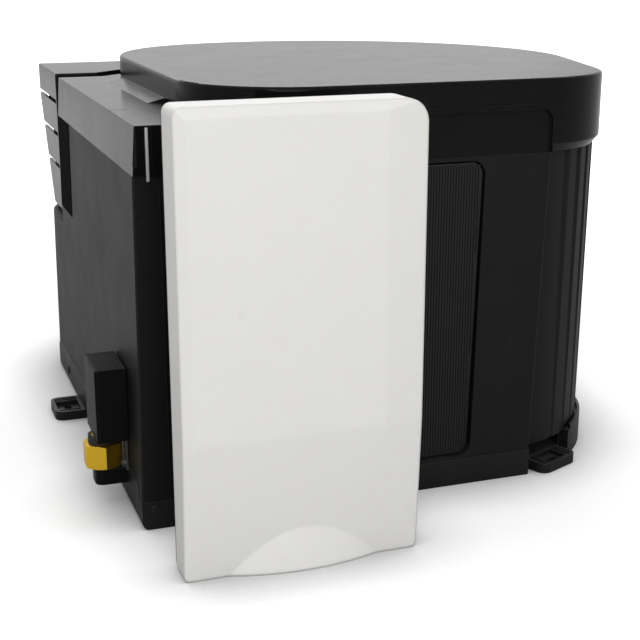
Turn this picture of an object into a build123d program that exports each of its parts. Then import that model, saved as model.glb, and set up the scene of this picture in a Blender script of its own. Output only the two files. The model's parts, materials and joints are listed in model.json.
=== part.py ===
from math import acos, atan2, cos, degrees, hypot, radians, sin, sqrt
import os

from build123d import *

# Caravan water heater: a case with a round water tank, and a cowl cover in front of it.
# The frame's origin is the middle of the case's underside, +Z is up and -Y is the cowl side.

# Driving sizes of the case. Its round end is as wide as the case, and the rear corner reaches beyond it.
case_width = 400.0
rear_reach = 61.0
case_height = 295.0
lid_height = 20.0
skirt_height = 32.0
tray_height = 20.0
tray_side_height = 30.0
wall = 3.0
corner_radius = 75.0
corner_margin = 104.0
rear_run = 150.0

# Driving sizes of the parts that fit together
tank_margin = 60.0
tank_bottom = 32.0
tank_headroom = 11.0
flue_run = 105.0
flue_radius = 26.0
burner_share = 0.25
flue_share = 79 / 116
duct_radius = 23.2
cowl_gap = 62.0
pipe_radius = 4.0
water_pipe_radius = 7.0

# Clearances and the overrun of every cut
seat_gap = 0.3
running_gap = 0.05
overrun = 5.0

case_depth = case_width + rear_reach
shoulder_height = case_height - lid_height
seam_height = shoulder_height - skirt_height
left = -case_width / 2
front = -case_depth / 2
rear = case_depth / 2
main_radius = case_width / 2
round_centre = (0.0, front + main_radius)
corner_centre = (left + case_width - corner_margin, front + corner_radius)
rear_point_x = left + rear_run
tank_radius = main_radius - tank_margin
tank_top = shoulder_height - tank_headroom
tank_height = tank_top - tank_bottom
tank_middle = (tank_top + tank_bottom) / 2
flue_x = left + flue_run
burner_height = tank_bottom + burner_share * tank_height
flue_height = tank_bottom + flue_share * tank_height

os.makedirs("parts", exist_ok=True)


# Planes that look at the front, at the left side and down from above

def front_plane(y):
    return Plane.XZ.offset(-y)


def side_plane(x):
    return Plane.YZ.offset(x)


def level(z):
    return Plane.XY.offset(z)


def on_circle(centre, radius, angle):
    return (centre[0] + radius * cos(radians(angle)), centre[1] + radius * sin(radians(angle)))


# Blocks and bars, placed by their runs from the left wall, depths from the front and heights

def block(runs, depths, heights, mode=Mode.ADD):
    with Locations((left + runs[0], front + depths[0], heights[0])):
        size = (runs[1] - runs[0], depths[1] - depths[0], heights[1] - heights[0])
        Box(*size, align=(Align.MIN, Align.MIN, Align.MIN), mode=mode)


def bar(radius, place, length, mode=Mode.ADD):
    with Locations(place):
        Cylinder(radius, length, align=(Align.CENTER, Align.CENTER, Align.MIN), mode=mode)


def bar_x(radius, depth, height, runs, mode=Mode.ADD):
    bar(radius, Location((left + runs[0], front + depth, height), (0, 90, 0)), runs[1] - runs[0], mode)


def bar_y(radius, run, height, depths, mode=Mode.ADD):
    bar(radius, Location((left + run, front + depths[0], height), (-90, 0, 0)), depths[1] - depths[0], mode)


def bar_z(radius, run, depth, heights, mode=Mode.ADD):
    bar(radius, Location((left + run, front + depth, heights[0])), heights[1] - heights[0], mode)


def finish(part, name):
    part.label = name
    export_step(part, f"parts/{name}.step")


# The plan of the case: flat front, left and rear, a small front right corner and a big round end

rear_corner_radius = 40.0
rear_left_radius = 90.0
front_edge_radius = 3.0


def case_plan(left_inset, front_inset, round_inset, rear_inset, corner=corner_centre, radius=corner_radius):
    corner_r = radius - front_inset
    round_r = main_radius - round_inset
    across = (round_centre[0] - corner[0], round_centre[1] - corner[1])
    side = degrees(atan2(across[1], across[0]) - acos((corner_r - round_r) / hypot(*across)))
    rear_corner = (rear_point_x, rear - rear_inset)
    reach = (rear_corner[0] - round_centre[0], rear_corner[1] - round_centre[1])
    back = degrees(atan2(reach[1], reach[0]) - acos(round_r / hypot(*reach)))
    left_x = left + left_inset
    front_y = corner[1] - corner_r
    with BuildLine() as outline:
        Line((left_x, front_y), (corner[0], front_y))
        CenterArc(corner, corner_r, -90, side + 90)
        Line(on_circle(corner, corner_r, side), on_circle(round_centre, round_r, side))
        CenterArc(round_centre, round_r, side, back - side)
        Polyline(
            on_circle(round_centre, round_r, back),
            rear_corner,
            (left_x, rear_corner[1]),
            (left_x, front_y),
        )
    make_face(outline.edges())
    fillet(vertices().sort_by_distance(rear_corner)[0], rear_corner_radius)
    fillet(vertices().sort_by_distance((left_x, rear_corner[1]))[0], rear_left_radius - left_inset)
    fillet(vertices().sort_by_distance((left_x, front_y))[0], front_edge_radius)


# The casing and the tray below the skirt have a blunter front right corner

blunt_margin = 125.0
blunt_depth = 112.0
blunt_radius = 106.0
blunt_wall = 5.0
blunt_centre = (left + case_width - blunt_margin, front + blunt_depth)
slab_depth = blunt_centre[1] - front - blunt_radius + blunt_wall


def blunt_plan(left_inset, front_inset, round_inset, rear_inset):
    case_plan(left_inset, front_inset, round_inset, rear_inset, blunt_centre, blunt_radius)


# The plan of the raised lid: the same round end, with a straight left side between two round corners

lid_inset = 50.0
lid_front_radius = 80.0
lid_rear_radius = 130.0
lid_front_centre = (left + lid_inset + lid_front_radius, front + lid_front_radius)
lid_rear_x = left + lid_inset + lid_rear_radius
lid_rear_reach = main_radius - lid_rear_radius
lid_rear_centre = (lid_rear_x, round_centre[1] + sqrt(lid_rear_reach**2 - lid_rear_x**2))


def lid_plan(inset):
    corner_r = corner_radius - inset
    round_r = main_radius - inset
    front_r = lid_front_radius - inset
    rear_r = lid_rear_radius - inset
    across = (round_centre[0] - corner_centre[0], round_centre[1] - corner_centre[1])
    side = degrees(atan2(across[1], across[0]) - acos((corner_r - round_r) / hypot(*across)))
    meet = degrees(atan2(lid_rear_centre[1] - round_centre[1], lid_rear_centre[0] - round_centre[0]))
    with BuildLine() as outline:
        Line(on_circle(lid_front_centre, front_r, -90), on_circle(corner_centre, corner_r, -90))
        CenterArc(corner_centre, corner_r, -90, side + 90)
        Line(on_circle(corner_centre, corner_r, side), on_circle(round_centre, round_r, side))
        CenterArc(round_centre, round_r, side, meet - side)
        CenterArc(lid_rear_centre, rear_r, meet, 180 - meet)
        Line(on_circle(lid_rear_centre, rear_r, 180), on_circle(lid_front_centre, front_r, 180))
        CenterArc(lid_front_centre, front_r, 180, 90)
    make_face(outline.edges())


# Insets of the case's walls from the plan. The flat front is a slab that stands proud of the round end.

skirt_left_inset = 3.1
shoulder_left_inset = 5.0
skirt_front_inset = 0.5
skirt_foot_height = 6.0
seam_front_inset = 3.0
seam_body_inset = -1.5
seam_round_inset = 5.5
casing_left_inset = 0.3
casing_front_inset = 0.5
casing_round_inset = 3.8
rear_inset = 3.5
slab_margin = 98.0
slab_taper = 8.0
slab_top_run = case_width - slab_margin
slab_bottom_run = slab_top_run - slab_taper


def slab_plan(left_inset, front_inset, run):
    with Locations((left + left_inset, front + front_inset)):
        Rectangle(run - left_inset, slab_depth - front_inset, align=(Align.MIN, Align.MIN))


# Service cover at the rear left corner: a cap plate with two legs, the left one tapered and slotted

cap_wall = 2.8
cap_length = 109.0
cap_width = 88.0
cap_neck = 43.0
cap_slant = 40.0
cap_inset = 7.0
cap_drop = 122.0
cap_taper_drop = 25.0
cap_taper_run = 62.0
cap_groove = 2.5
cap_edge_radius = 4.0
pocket_length = 143.0
slot_height = 3.2
slot_pitch = 29.0
slot_run = 42.0
slot_count = 3
slot_drop = 18.0
cap_left = left + cap_inset
cap_front = rear - cap_length
cap_right = left + cap_width
cap_bottom = shoulder_height - cap_drop
cap_taper_top = shoulder_height - cap_taper_drop
cap_plate_bottom = shoulder_height - cap_wall
pocket_start = case_depth - pocket_length
pocket_floor = cap_bottom - wall
pocket_run = cap_inset + cap_wall + 2 * seat_gap
slot_lean = cap_taper_run / (cap_taper_top - cap_bottom)


def cap_plan(inset, ahead=0):
    front_y = cap_front + inset - ahead
    with BuildLine() as outline:
        Polyline(
            (cap_left + inset, front_y),
            (left + cap_neck, front_y),
            (cap_right - inset, front_y + cap_slant),
            (cap_right - inset, rear - inset),
            (cap_left + inset, rear - inset),
            close=True,
        )
    make_face(outline.edges())


# The left leg hangs in a pocket of the case's wall, whose own walls are added from inside

def pocket_walls(left_inset, heights):
    with BuildPart(mode=Mode.PRIVATE) as walls:
        with BuildSketch(level(heights[0])):
            case_plan(left_inset, wall, seam_round_inset, rear_inset)
        extrude(amount=heights[1] - heights[0])
        block((0, pocket_run + wall), (pocket_start - wall, case_depth), heights, Mode.INTERSECT)
    add(walls.part)


with BuildPart() as service_cover:
    with BuildSketch(level(cap_bottom)):
        cap_plan(0)
    extrude(amount=shoulder_height - cap_bottom)
    outer_edges = service_cover.edges().filter_by(Axis.Z)
    fillet(outer_edges.sort_by_distance((cap_left, rear, tank_middle))[0], cap_edge_radius)
    top_edges = service_cover.faces().sort_by(Axis.Z)[-1].edges()
    fillet(top_edges.group_by(Axis.X)[0] + top_edges.group_by(Axis.Y)[-1], cap_wall / 2)
    # The inside is open below, in front and on the right, so two legs hang from the plate
    with BuildSketch(level(cap_bottom - overrun)):
        with Locations((cap_left + cap_wall, rear - cap_wall)):
            Rectangle(cap_width + overrun, case_depth / 2, align=(Align.MIN, Align.MAX))
    extrude(amount=cap_plate_bottom - cap_bottom + overrun, mode=Mode.SUBTRACT)
    # The rear leg is only a short lip
    with BuildSketch(level(cap_bottom - overrun)):
        with Locations((cap_left + cap_wall, rear + overrun)):
            Rectangle(cap_width + overrun, cap_wall + 2 * overrun, align=(Align.MIN, Align.MAX))
    extrude(amount=cap_taper_top - cap_bottom + overrun, mode=Mode.SUBTRACT)
    # The left leg runs out towards the casing below
    with BuildSketch(side_plane(cap_left - overrun)):
        with BuildLine():
            Polyline(
                (rear - cap_taper_run, cap_bottom - overrun),
                (rear + overrun, cap_bottom - overrun),
                (rear + overrun, cap_taper_top),
                (rear, cap_taper_top),
                (rear - cap_taper_run, cap_bottom),
                close=True,
            )
        make_face()
    extrude(amount=cap_wall + cap_edge_radius + overrun, mode=Mode.SUBTRACT)
    # The slots run in from the rear edge of the left leg
    for row in range(slot_count):
        slot_z = shoulder_height - slot_drop - row * slot_pitch
        slot_mouth = rear - max(0, cap_taper_top - slot_z) * slot_lean
        with BuildSketch(side_plane(cap_left - overrun)):
            with Locations((slot_mouth + overrun, slot_z)):
                Rectangle(slot_run + overrun, slot_height, align=(Align.MAX, Align.MAX))
        extrude(amount=cap_wall + cap_edge_radius + overrun, mode=Mode.SUBTRACT)
finish(service_cover.part, "service_cover")


# Upper shell: skirt, shoulder and raised lid, one moulding with a thin wall

lid_edge_radius = 2.5
front_wall = 6.0
shoulder_wall = 4.5
plateau_width = 12.0
plateau_height = 3.0
plateau_run = 150.0
plateau_start = 115.0
recess_depth = 3.0
recess_start = 168.0
recess_margin = 1.0
recess_drop = 1.5
recess_radius = 9.0
lip_height = 1.2
lip_depth = 1.0
lip_margin = 13.0
bead_run = 14.5
bead_width = 2.2
bead_proud = 1.4
slit_run = 84.0
slit_length = 12.0
slit_width = 1.2
slit_depth = 1.2
skirt_foot_top = seam_height + skirt_foot_height
recess_end = slab_top_run - recess_margin
recess_top = shoulder_height - recess_drop
lip_level = shoulder_height + plateau_height
lip_end = slab_top_run - lip_margin

with BuildPart() as upper_shell:
    # The foot of the skirt widens over the casing at the round end
    with BuildSketch(level(seam_height)):
        case_plan(skirt_left_inset, seam_round_inset, seam_round_inset, rear_inset)
    with BuildSketch(level(skirt_foot_top)):
        case_plan(skirt_left_inset, skirt_front_inset, 0, rear_inset)
    loft(ruled=True)
    with BuildSketch(level(skirt_foot_top)):
        case_plan(skirt_left_inset, skirt_front_inset, 0, rear_inset)
    extrude(amount=shoulder_height - skirt_foot_top)
    with BuildSketch(level(shoulder_height)):
        lid_plan(skirt_front_inset)
    extrude(amount=case_height - shoulder_height)
    fillet(upper_shell.faces().sort_by(Axis.Z)[-1].edges(), lid_edge_radius)
    with BuildSketch(level(seam_height)):
        slab_plan(skirt_left_inset, skirt_front_inset, slab_top_run)
    extrude(amount=skirt_foot_height)
    # The left wall of the skirt leans in towards the shoulder
    with BuildSketch(front_plane(front - overrun)):
        with BuildLine():
            Polyline(
                (left + skirt_left_inset - overrun, seam_height + lip_height),
                (left + skirt_left_inset, seam_height + lip_height),
                (left + shoulder_left_inset, shoulder_height),
                (left + shoulder_left_inset, shoulder_height + overrun),
                (left + skirt_left_inset - overrun, shoulder_height + overrun),
                close=True,
            )
        make_face()
    extrude(amount=-(case_depth + 2 * overrun), mode=Mode.SUBTRACT)
    # The low plateau along the left side of the lid
    with BuildSketch(front_plane(front + plateau_start)):
        with BuildLine():
            Polyline(
                (left + lid_inset - plateau_width, shoulder_height),
                (left + lid_inset, shoulder_height + plateau_height),
                (left + lid_inset + wall, shoulder_height + plateau_height),
                (left + lid_inset + wall, shoulder_height),
                close=True,
            )
        make_face()
    extrude(amount=-plateau_run)
    # The bead on the front left post
    with BuildSketch(level(seam_height + lip_height)):
        with Locations((left + bead_run, front + skirt_front_inset)):
            Rectangle(bead_width, 2 * bead_proud)
    extrude(amount=shoulder_height - seam_height - 2 * lip_height)
    # The hollow inside: the foot's, the skirt's, then the lid's
    with BuildSketch(level(seam_height - overrun)):
        blunt_plan(shoulder_left_inset + wall, blunt_wall, seam_round_inset + wall, rear_inset + wall)
    extrude(amount=skirt_foot_height + overrun, mode=Mode.SUBTRACT)
    with BuildSketch(level(skirt_foot_top)):
        case_plan(shoulder_left_inset + wall, skirt_front_inset + front_wall, wall, rear_inset + wall)
    extrude(amount=shoulder_height - shoulder_wall - skirt_foot_top, mode=Mode.SUBTRACT)
    with BuildSketch(level(skirt_foot_top)):
        lid_plan(skirt_front_inset + front_wall)
    extrude(amount=case_height - wall - skirt_foot_top, mode=Mode.SUBTRACT)
    # The window in the skirt's front, with one round corner
    with BuildSketch(front_plane(front - overrun)):
        with Locations((left + recess_start, seam_height - overrun)):
            Rectangle(recess_end - recess_start, recess_top - seam_height + overrun, align=(Align.MIN, Align.MIN))
        fillet(vertices().sort_by_distance((left + recess_end, recess_top))[0], recess_radius)
    extrude(amount=-(overrun + skirt_front_inset + recess_depth), mode=Mode.SUBTRACT)
    # The fine lip line above the window
    with BuildSketch(front_plane(front - overrun)):
        with Locations((left + lid_inset + lid_front_radius, lip_level)):
            Rectangle(lip_end - lid_inset - lid_front_radius, lip_height, align=(Align.MIN, Align.CENTER))
    extrude(amount=-(overrun + skirt_front_inset + lip_depth), mode=Mode.SUBTRACT)
    # The slit across the shoulder
    with BuildSketch(level(shoulder_height - slit_depth)):
        with Locations((left + shoulder_left_inset, front + slit_run)):
            Rectangle(2 * slit_length, slit_width)
    extrude(amount=slit_depth + overrun, mode=Mode.SUBTRACT)
    # The pocket for the leg of the service cover, and the seat of its plate
    pocket_walls(shoulder_left_inset, (seam_height, shoulder_height))
    block(
        (-overrun, pocket_run),
        (pocket_start, case_depth + overrun),
        (seam_height - overrun, case_height),
        Mode.SUBTRACT,
    )
    with BuildSketch(level(cap_plate_bottom - seat_gap)):
        cap_plan(-cap_groove, pocket_length - cap_length - cap_groove)
    extrude(amount=plateau_height + lip_height, mode=Mode.SUBTRACT)
finish(upper_shell.part, "upper_shell")


# Lower casing: drafted walls round the tank, with the cowl's shallow recess, the panel's opening and holes

cowl_recess_start = 22.0
cowl_recess_end = 152.0
cowl_recess_bottom = 36.0
cowl_recess_drop = 7.0
cowl_recess_top = seam_height - cowl_recess_drop
cowl_recess_depth = 2.5
panel_start = 158.0
panel_top_end = 251.0
panel_bottom_end = 245.0
panel_top = seam_height - wall
panel_bottom = 22.0
panel_radius = 10.0
panel_gap = 1.5
flute_radius = 5.0
flute_depth = 0.7
flute_count = 6
flute_step = 9.0
flute_start = -64.0
side_cut_start = 10.0
side_cut_end = case_depth - rear_left_radius
side_cut_run = wall + seat_gap + casing_left_inset
gas_hole_radius = 5.0
gas_pipe_run = 60.0
gas_pipe_drop = 2.0
gas_pipe_height = burner_height - gas_pipe_drop
water_run = 115.0
cold_height = 60.0
hot_height = 125.0
water_x = left + water_run
duct_hole_radius = duct_radius + 1.3
tab_width = 12.0
tab_thickness = 5.0
tab_bottom = 8.0
side_tab_top = 36.0
side_tab_start = 3.2
front_tab_runs = (9.0, 120.0)
side_tab_depths = (150.0, 320.0)
screw_height = 14.0
screw_radius = 1.9
screw_hole_radius = 2.0
screw_length = 8.0
screw_head_radius = 3.4
screw_head_height = 1.2


def panel_corners(grow):
    return (
        (left + panel_start - grow, panel_bottom - grow),
        (left + panel_bottom_end + grow, panel_bottom - grow),
        (left + panel_top_end + grow, panel_top + grow),
        (left + panel_start - grow, panel_top + grow),
    )


def panel_outline(grow):
    with BuildLine() as outline:
        Polyline(*panel_corners(grow), close=True)
    make_face(outline.edges())
    fillet(vertices(), panel_radius + grow)


with BuildPart() as lower_casing:
    with BuildSketch(level(tray_height)):
        blunt_plan(casing_left_inset, 0, casing_round_inset, rear_inset)
    with BuildSketch(level(seam_height)):
        blunt_plan(skirt_left_inset, seam_body_inset, seam_round_inset, rear_inset)
    loft(ruled=True)
    with BuildSketch(level(tray_height)):
        slab_plan(casing_left_inset, casing_front_inset, slab_bottom_run)
    with BuildSketch(level(seam_height)):
        slab_plan(skirt_left_inset, seam_front_inset, slab_top_run)
    loft(ruled=True)
    slab_edges = lower_casing.edges().filter_by(lambda e: e.bounding_box().size.Z > tank_middle)
    fillet(slab_edges.group_by(Axis.Y)[0], front_edge_radius / 2)
    # The hollow inside
    with BuildSketch(level(tray_height)):
        blunt_plan(casing_left_inset + wall, blunt_wall, casing_round_inset + wall, rear_inset + wall)
    with BuildSketch(level(seam_height)):
        blunt_plan(skirt_left_inset + wall, blunt_wall, seam_round_inset + wall, rear_inset + wall)
    loft(ruled=True, mode=Mode.SUBTRACT)
    # The shallow recess behind the cowl, and the opening of the ribbed panel
    with BuildSketch(front_plane(front - overrun)):
        with Locations((left + cowl_recess_start, cowl_recess_bottom)):
            Rectangle(
                cowl_recess_end - cowl_recess_start,
                cowl_recess_top - cowl_recess_bottom,
                align=(Align.MIN, Align.MIN),
            )
        fillet(vertices(), panel_radius)
    extrude(amount=-(overrun + seam_front_inset + cowl_recess_depth), mode=Mode.SUBTRACT)
    with BuildSketch(front_plane(front - overrun)):
        panel_outline(0)
    extrude(amount=-(slab_depth + 2 * overrun), mode=Mode.SUBTRACT)
    # The holes of the two ducts, the gas pipe and the two water pipes
    with BuildSketch(front_plane(front - overrun)):
        with Locations((flue_x, burner_height), (flue_x, flue_height)):
            Circle(duct_hole_radius)
    extrude(amount=-(slab_depth + 2 * overrun), mode=Mode.SUBTRACT)
    with BuildSketch(side_plane(left - overrun)):
        with Locations((front + gas_pipe_run, gas_pipe_height)):
            Circle(gas_hole_radius)
    extrude(amount=wall + 2 * overrun, mode=Mode.SUBTRACT)
    with BuildSketch(front_plane(rear + overrun)):
        with Locations((water_x, cold_height), (water_x, hot_height)):
            Circle(water_pipe_radius + seat_gap)
    extrude(amount=wall + 3 * overrun, mode=Mode.SUBTRACT)
    # The vertical flutes on the curved corner
    with BuildSketch(level(tray_height)):
        with PolarLocations(
            blunt_radius + flute_radius - flute_depth,
            flute_count,
            start_angle=flute_start,
            angular_range=flute_step * flute_count,
        ) as flutes:
            pass
        with Locations(*[Location(blunt_centre) * spot for spot in flutes.local_locations]):
            Circle(flute_radius)
    extrude(amount=seam_height - tray_height, mode=Mode.SUBTRACT)
    # The tabs that the tray is screwed to
    for run in front_tab_runs:
        tab_depths = (wall + seat_gap, wall + seat_gap + tab_thickness)
        block((run - tab_width / 2, run + tab_width / 2), tab_depths, (tab_bottom, tray_height))
        bar_y(screw_hole_radius, run, screw_height, tab_depths, Mode.SUBTRACT)
    for depth in side_tab_depths:
        tab_runs = (side_tab_start, wall + 2 * seat_gap + tab_thickness)
        block(tab_runs, (depth - tab_width / 2, depth + tab_width / 2), (tab_bottom, side_tab_top))
        bar_x(screw_hole_radius, depth, screw_height, tab_runs, Mode.SUBTRACT)
    # The pocket for the leg of the service cover
    pocket_walls(skirt_left_inset, (pocket_floor - wall, seam_height))
    block(
        (-overrun, pocket_run),
        (pocket_start, case_depth + overrun),
        (pocket_floor, seam_height + overrun),
        Mode.SUBTRACT,
    )
    # The left wall starts higher, because the tray's side reaches up there
    block((-overrun, side_cut_run), (side_cut_start, side_cut_end), (tab_bottom, tray_side_height), Mode.SUBTRACT)
finish(lower_casing.part, "lower_casing")


# Ribbed panel: vertical ribs on a plate that is held by a flange behind the casing's wall

rib_pitch = 2.1
rib_width = 1.0
rib_height = 0.8
rib_count = 43
rib_margin = 3.2
panel_face = 4.5
flange_grow = 4.0
flange_depth = 2.0
panel_middle = (left + (panel_start + panel_top_end) / 2, (panel_bottom + panel_top) / 2)

with BuildPart() as ribbed_front_panel:
    with BuildSketch(front_plane(front + panel_face)):
        panel_outline(-panel_gap)
    extrude(amount=panel_face - slab_depth)
    with BuildSketch(front_plane(front + slab_depth)):
        panel_outline(flange_grow)
    extrude(amount=-flange_depth)
    with BuildSketch(front_plane(front + panel_face)):
        with Locations(panel_middle):
            with GridLocations(rib_pitch, 0, rib_count, 1):
                Rectangle(rib_width, panel_top - panel_bottom)
        with BuildLine():
            Polyline(*panel_corners(-rib_margin), close=True)
        make_face(mode=Mode.INTERSECT)
    extrude(amount=rib_height)
finish(ribbed_front_panel.part, "ribbed_front_panel")


# Base tray: floor and low walls, a raised left side, and a collar round the curved end

tray_floor = 3.5
tray_edge_radius = 5.5
tray_seat = 7.0
tray_body_inset = -4.0
collar_height = 24.0
collar_width = 2.2
collar_margin = 56.0
collar_run = case_width - collar_margin
tongue_width = 24.0
tongue_length = 12.0
tongue_height = 2.0
left_foot_depth = 249.0
rear_foot_run = 115.0
round_foot_angle = 55.0
front_foot_angle = -66.0
front_foot_reach = 98.0
front_foot_spot = on_circle(blunt_centre, front_foot_reach, front_foot_angle)
bay_width = 50.0
foot_places = {
    "foot_front_right": Location((*front_foot_spot, 0), (0, 0, front_foot_angle)),
    "foot_rear_right": Location(
        (*on_circle(round_centre, main_radius, round_foot_angle), 0), (0, 0, round_foot_angle)
    ),
    "foot_left": Location((left, front + left_foot_depth, 0), (0, 0, 180)),
    "foot_rear": Location((left + rear_foot_run, rear, 0), (0, 0, 90)),
}
raised_depths = (side_cut_start + seat_gap, side_cut_end - seat_gap)

with BuildPart() as base_tray:
    with BuildSketch(level(0)):
        blunt_plan(0, tray_body_inset, 0, 0)
    extrude(amount=collar_height)
    with BuildSketch(level(tray_height)):
        blunt_plan(collar_width, tray_body_inset + collar_width, collar_width, collar_width)
    extrude(amount=collar_height, mode=Mode.SUBTRACT)
    block(
        (-overrun, collar_run),
        (-overrun, case_depth + overrun),
        (tray_height, collar_height + overrun),
        Mode.SUBTRACT,
    )
    # The bay in which the front right foot sits
    with Locations(foot_places["foot_front_right"]):
        Box(blunt_radius, bay_width, collar_height, align=(Align.MIN, Align.CENTER, Align.MIN), mode=Mode.SUBTRACT)
    block((0, slab_bottom_run), (0, slab_depth), (0, tray_height))
    block((0, wall), raised_depths, (tray_floor, tray_side_height - seat_gap))
    with BuildSketch(level(tray_floor)):
        blunt_plan(wall, blunt_wall, tray_seat, tray_seat)
    extrude(amount=tray_height - tray_floor, mode=Mode.SUBTRACT)
    block((wall, slab_bottom_run - wall), (wall, 2 * slab_depth), (tray_floor, tray_height), Mode.SUBTRACT)
    # The lower left edge is round
    with BuildSketch(front_plane(front - overrun)):
        with Locations((left, 0)):
            Rectangle(tray_edge_radius, tray_edge_radius, align=(Align.MIN, Align.MIN))
        with Locations((left + tray_edge_radius, tray_edge_radius)):
            Circle(tray_edge_radius, mode=Mode.SUBTRACT)
    extrude(amount=-(case_depth + 2 * overrun), mode=Mode.SUBTRACT)
    # The screw holes, and the pockets of the feet's tongues
    for run in front_tab_runs:
        bar_y(screw_hole_radius, run, screw_height, (-overrun, wall), Mode.SUBTRACT)
    for depth in side_tab_depths:
        bar_x(screw_hole_radius, depth, screw_height, (-overrun, wall), Mode.SUBTRACT)
    for place in foot_places.values():
        with Locations(place):
            with Locations((-tongue_length - seat_gap, 0, -overrun)):
                Box(
                    tongue_length + seat_gap + overrun,
                    tongue_width + 2 * seat_gap,
                    tongue_height + overrun,
                    align=(Align.MIN, Align.CENTER, Align.MIN),
                    mode=Mode.SUBTRACT,
                )
finish(base_tray.part, "base_tray")


# Feet: a tab with a raised rim and a slot, held in the tray by a flat tongue

foot_length = 31.0
foot_width = 42.0
front_foot_length = 22.0
front_foot_width = 40.0
foot_height = 7.5
foot_corner = 7.0
foot_rim = 3.0
foot_web = 3.2
foot_slot_radius = 2.8
foot_slot_reach = 12.0
foot_slot_length = 12.0
side_foot_length = 25.0
side_foot_width = 38.0

foot_sizes = {
    "foot_front_right": (front_foot_length, front_foot_width),
    "foot_rear_right": (foot_length, foot_width),
    "foot_left": (side_foot_length, side_foot_width),
    "foot_rear": (side_foot_length, side_foot_width),
}

for name, place in foot_places.items():
    length, width = foot_sizes[name]
    with BuildPart() as foot:
        with BuildSketch(level(0)):
            with Locations((seat_gap, 0)):
                Rectangle(length - seat_gap, width, align=(Align.MIN, Align.CENTER))
            fillet(vertices().group_by(Axis.X)[-1], foot_corner)
        extrude(amount=foot_height)
        with BuildSketch(level(foot_web)):
            with Locations((seat_gap + foot_rim, 0)):
                Rectangle(length - seat_gap - 2 * foot_rim, width - 2 * foot_rim, align=(Align.MIN, Align.CENTER))
            fillet(vertices().group_by(Axis.X)[-1], foot_corner - foot_rim)
        extrude(amount=foot_height, mode=Mode.SUBTRACT)
        with BuildSketch(level(0)):
            with Locations((foot_slot_reach, 0)):
                SlotCenterToCenter(foot_slot_length, 2 * foot_slot_radius, rotation=90)
        extrude(amount=foot_height, mode=Mode.SUBTRACT)
        with Locations((-tongue_length, 0, 0)):
            Box(
                tongue_length + foot_rim,
                tongue_width,
                tongue_height,
                align=(Align.MIN, Align.CENTER, Align.MIN),
            )
    finish(foot.part.moved(place), name)


# Screws that hold the tray to the casing's tabs

with BuildPart() as tray_screws:
    for run in front_tab_runs:
        bar_y(screw_radius, run, screw_height, (0, screw_length))
        bar_y(screw_head_radius, run, screw_height, (-screw_head_height, 0))
    for depth in side_tab_depths:
        bar_x(screw_radius, depth, screw_height, (0, screw_length))
        bar_x(screw_head_radius, depth, screw_height, (-screw_head_height, 0))
finish(tray_screws.part, "tray_screws")


# Water tank: a steel drum with round edges, with holes for the flue, the pipes and the sensor

tank_wall = 1.5
tank_edge_radius = 35.0
tank_run = main_radius
tank_depth = main_radius
sensor_depth = tank_depth
sensor_height = 110.0
sensor_radius = 3.0
switch_drop = 84.0
switch_height = tank_top - switch_drop
switch_radius = 9.0


def tank_body(grow, mode):
    length = tank_height + 2 * grow
    with BuildPart(mode=Mode.PRIVATE) as drum:
        Cylinder(tank_radius + grow, length)
        fillet(drum.edges().filter_by(GeomType.CIRCLE), tank_edge_radius + grow)
    add(drum.part.moved(Location((*round_centre, tank_middle))), mode=mode)


with BuildPart() as water_tank:
    tank_body(0, Mode.ADD)
    tank_body(-tank_wall, Mode.SUBTRACT)
    for height in (burner_height, flue_height):
        bar_y(flue_radius + seat_gap, flue_run, height, (0, tank_depth), Mode.SUBTRACT)
    for height in (cold_height, hot_height):
        bar_y(water_pipe_radius + seat_gap, water_run, height, (tank_depth, case_depth), Mode.SUBTRACT)
    bar_x(sensor_radius + seat_gap, sensor_depth, sensor_height, (0, tank_run), Mode.SUBTRACT)
finish(water_tank.part, "water_tank")


# Insulation: two foam halves round the tank, with a straight left side and a pocket for the burner

foam_wall = 44.0
foam_left_run = 54.0
foam_split_rise = 1.0
foam_lid_inset = 1.0
foam_lid_gap = 2.0
foam_gap = 0.5
burner_pocket_runs = (66.0, 144.0)
burner_pocket_depth = 46.0
burner_pocket_margin = 40.0
foam_radius = tank_radius + foam_wall
foam_split = tank_middle + foam_split_rise
foam_top = shoulder_height - shoulder_wall - seat_gap
foam_lid_top = case_height - wall - foam_lid_gap
burner_pocket_heights = (burner_height - burner_pocket_margin, flue_height + burner_pocket_margin)


def foam_half(heights, name):
    with BuildPart() as foam:
        bar_z(foam_radius, tank_run, tank_depth, heights)
        if heights[1] == foam_top:
            bar_z(tank_radius - foam_lid_inset, tank_run, tank_depth, (foam_top, foam_lid_top))
        tank_body(foam_gap, Mode.SUBTRACT)
        block((0, foam_left_run), (0, case_depth), (0, case_height), Mode.SUBTRACT)
        block(burner_pocket_runs, (0, burner_pocket_depth), burner_pocket_heights, Mode.SUBTRACT)
        for height in (burner_height, flue_height):
            bar_y(flue_radius + foam_gap, flue_run, height, (0, tank_depth), Mode.SUBTRACT)
        for height in (cold_height, hot_height):
            bar_y(water_pipe_radius + foam_gap, water_run, height, (tank_depth, case_depth), Mode.SUBTRACT)
        bar_x(sensor_radius + seat_gap, sensor_depth, sensor_height, (0, tank_run), Mode.SUBTRACT)
        bar_x(switch_radius + seat_gap, sensor_depth, switch_height, (0, tank_run), Mode.SUBTRACT)
    finish(foam.part, name)


foam_half((tray_floor, foam_split), "tank_insulation_lower")
foam_half((foam_split, foam_top), "tank_insulation_upper")


# Heat exchanger: a flange with a tube that runs through the tank and back

flue_wall = 2.5
flange_runs = (70.0, 140.0)
flange_depths = (40.0, 43.0)
flange_margin = 35.0
riser_share = 23 / 35
riser_gap = 92.0
flange_heights = (burner_height - flange_margin, flue_height + flange_margin)
riser_depth = tank_depth + riser_share * tank_radius
flue_turn_depth = riser_depth - riser_gap
flue_turn_radius = (flue_height - burner_height) / 2


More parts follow.
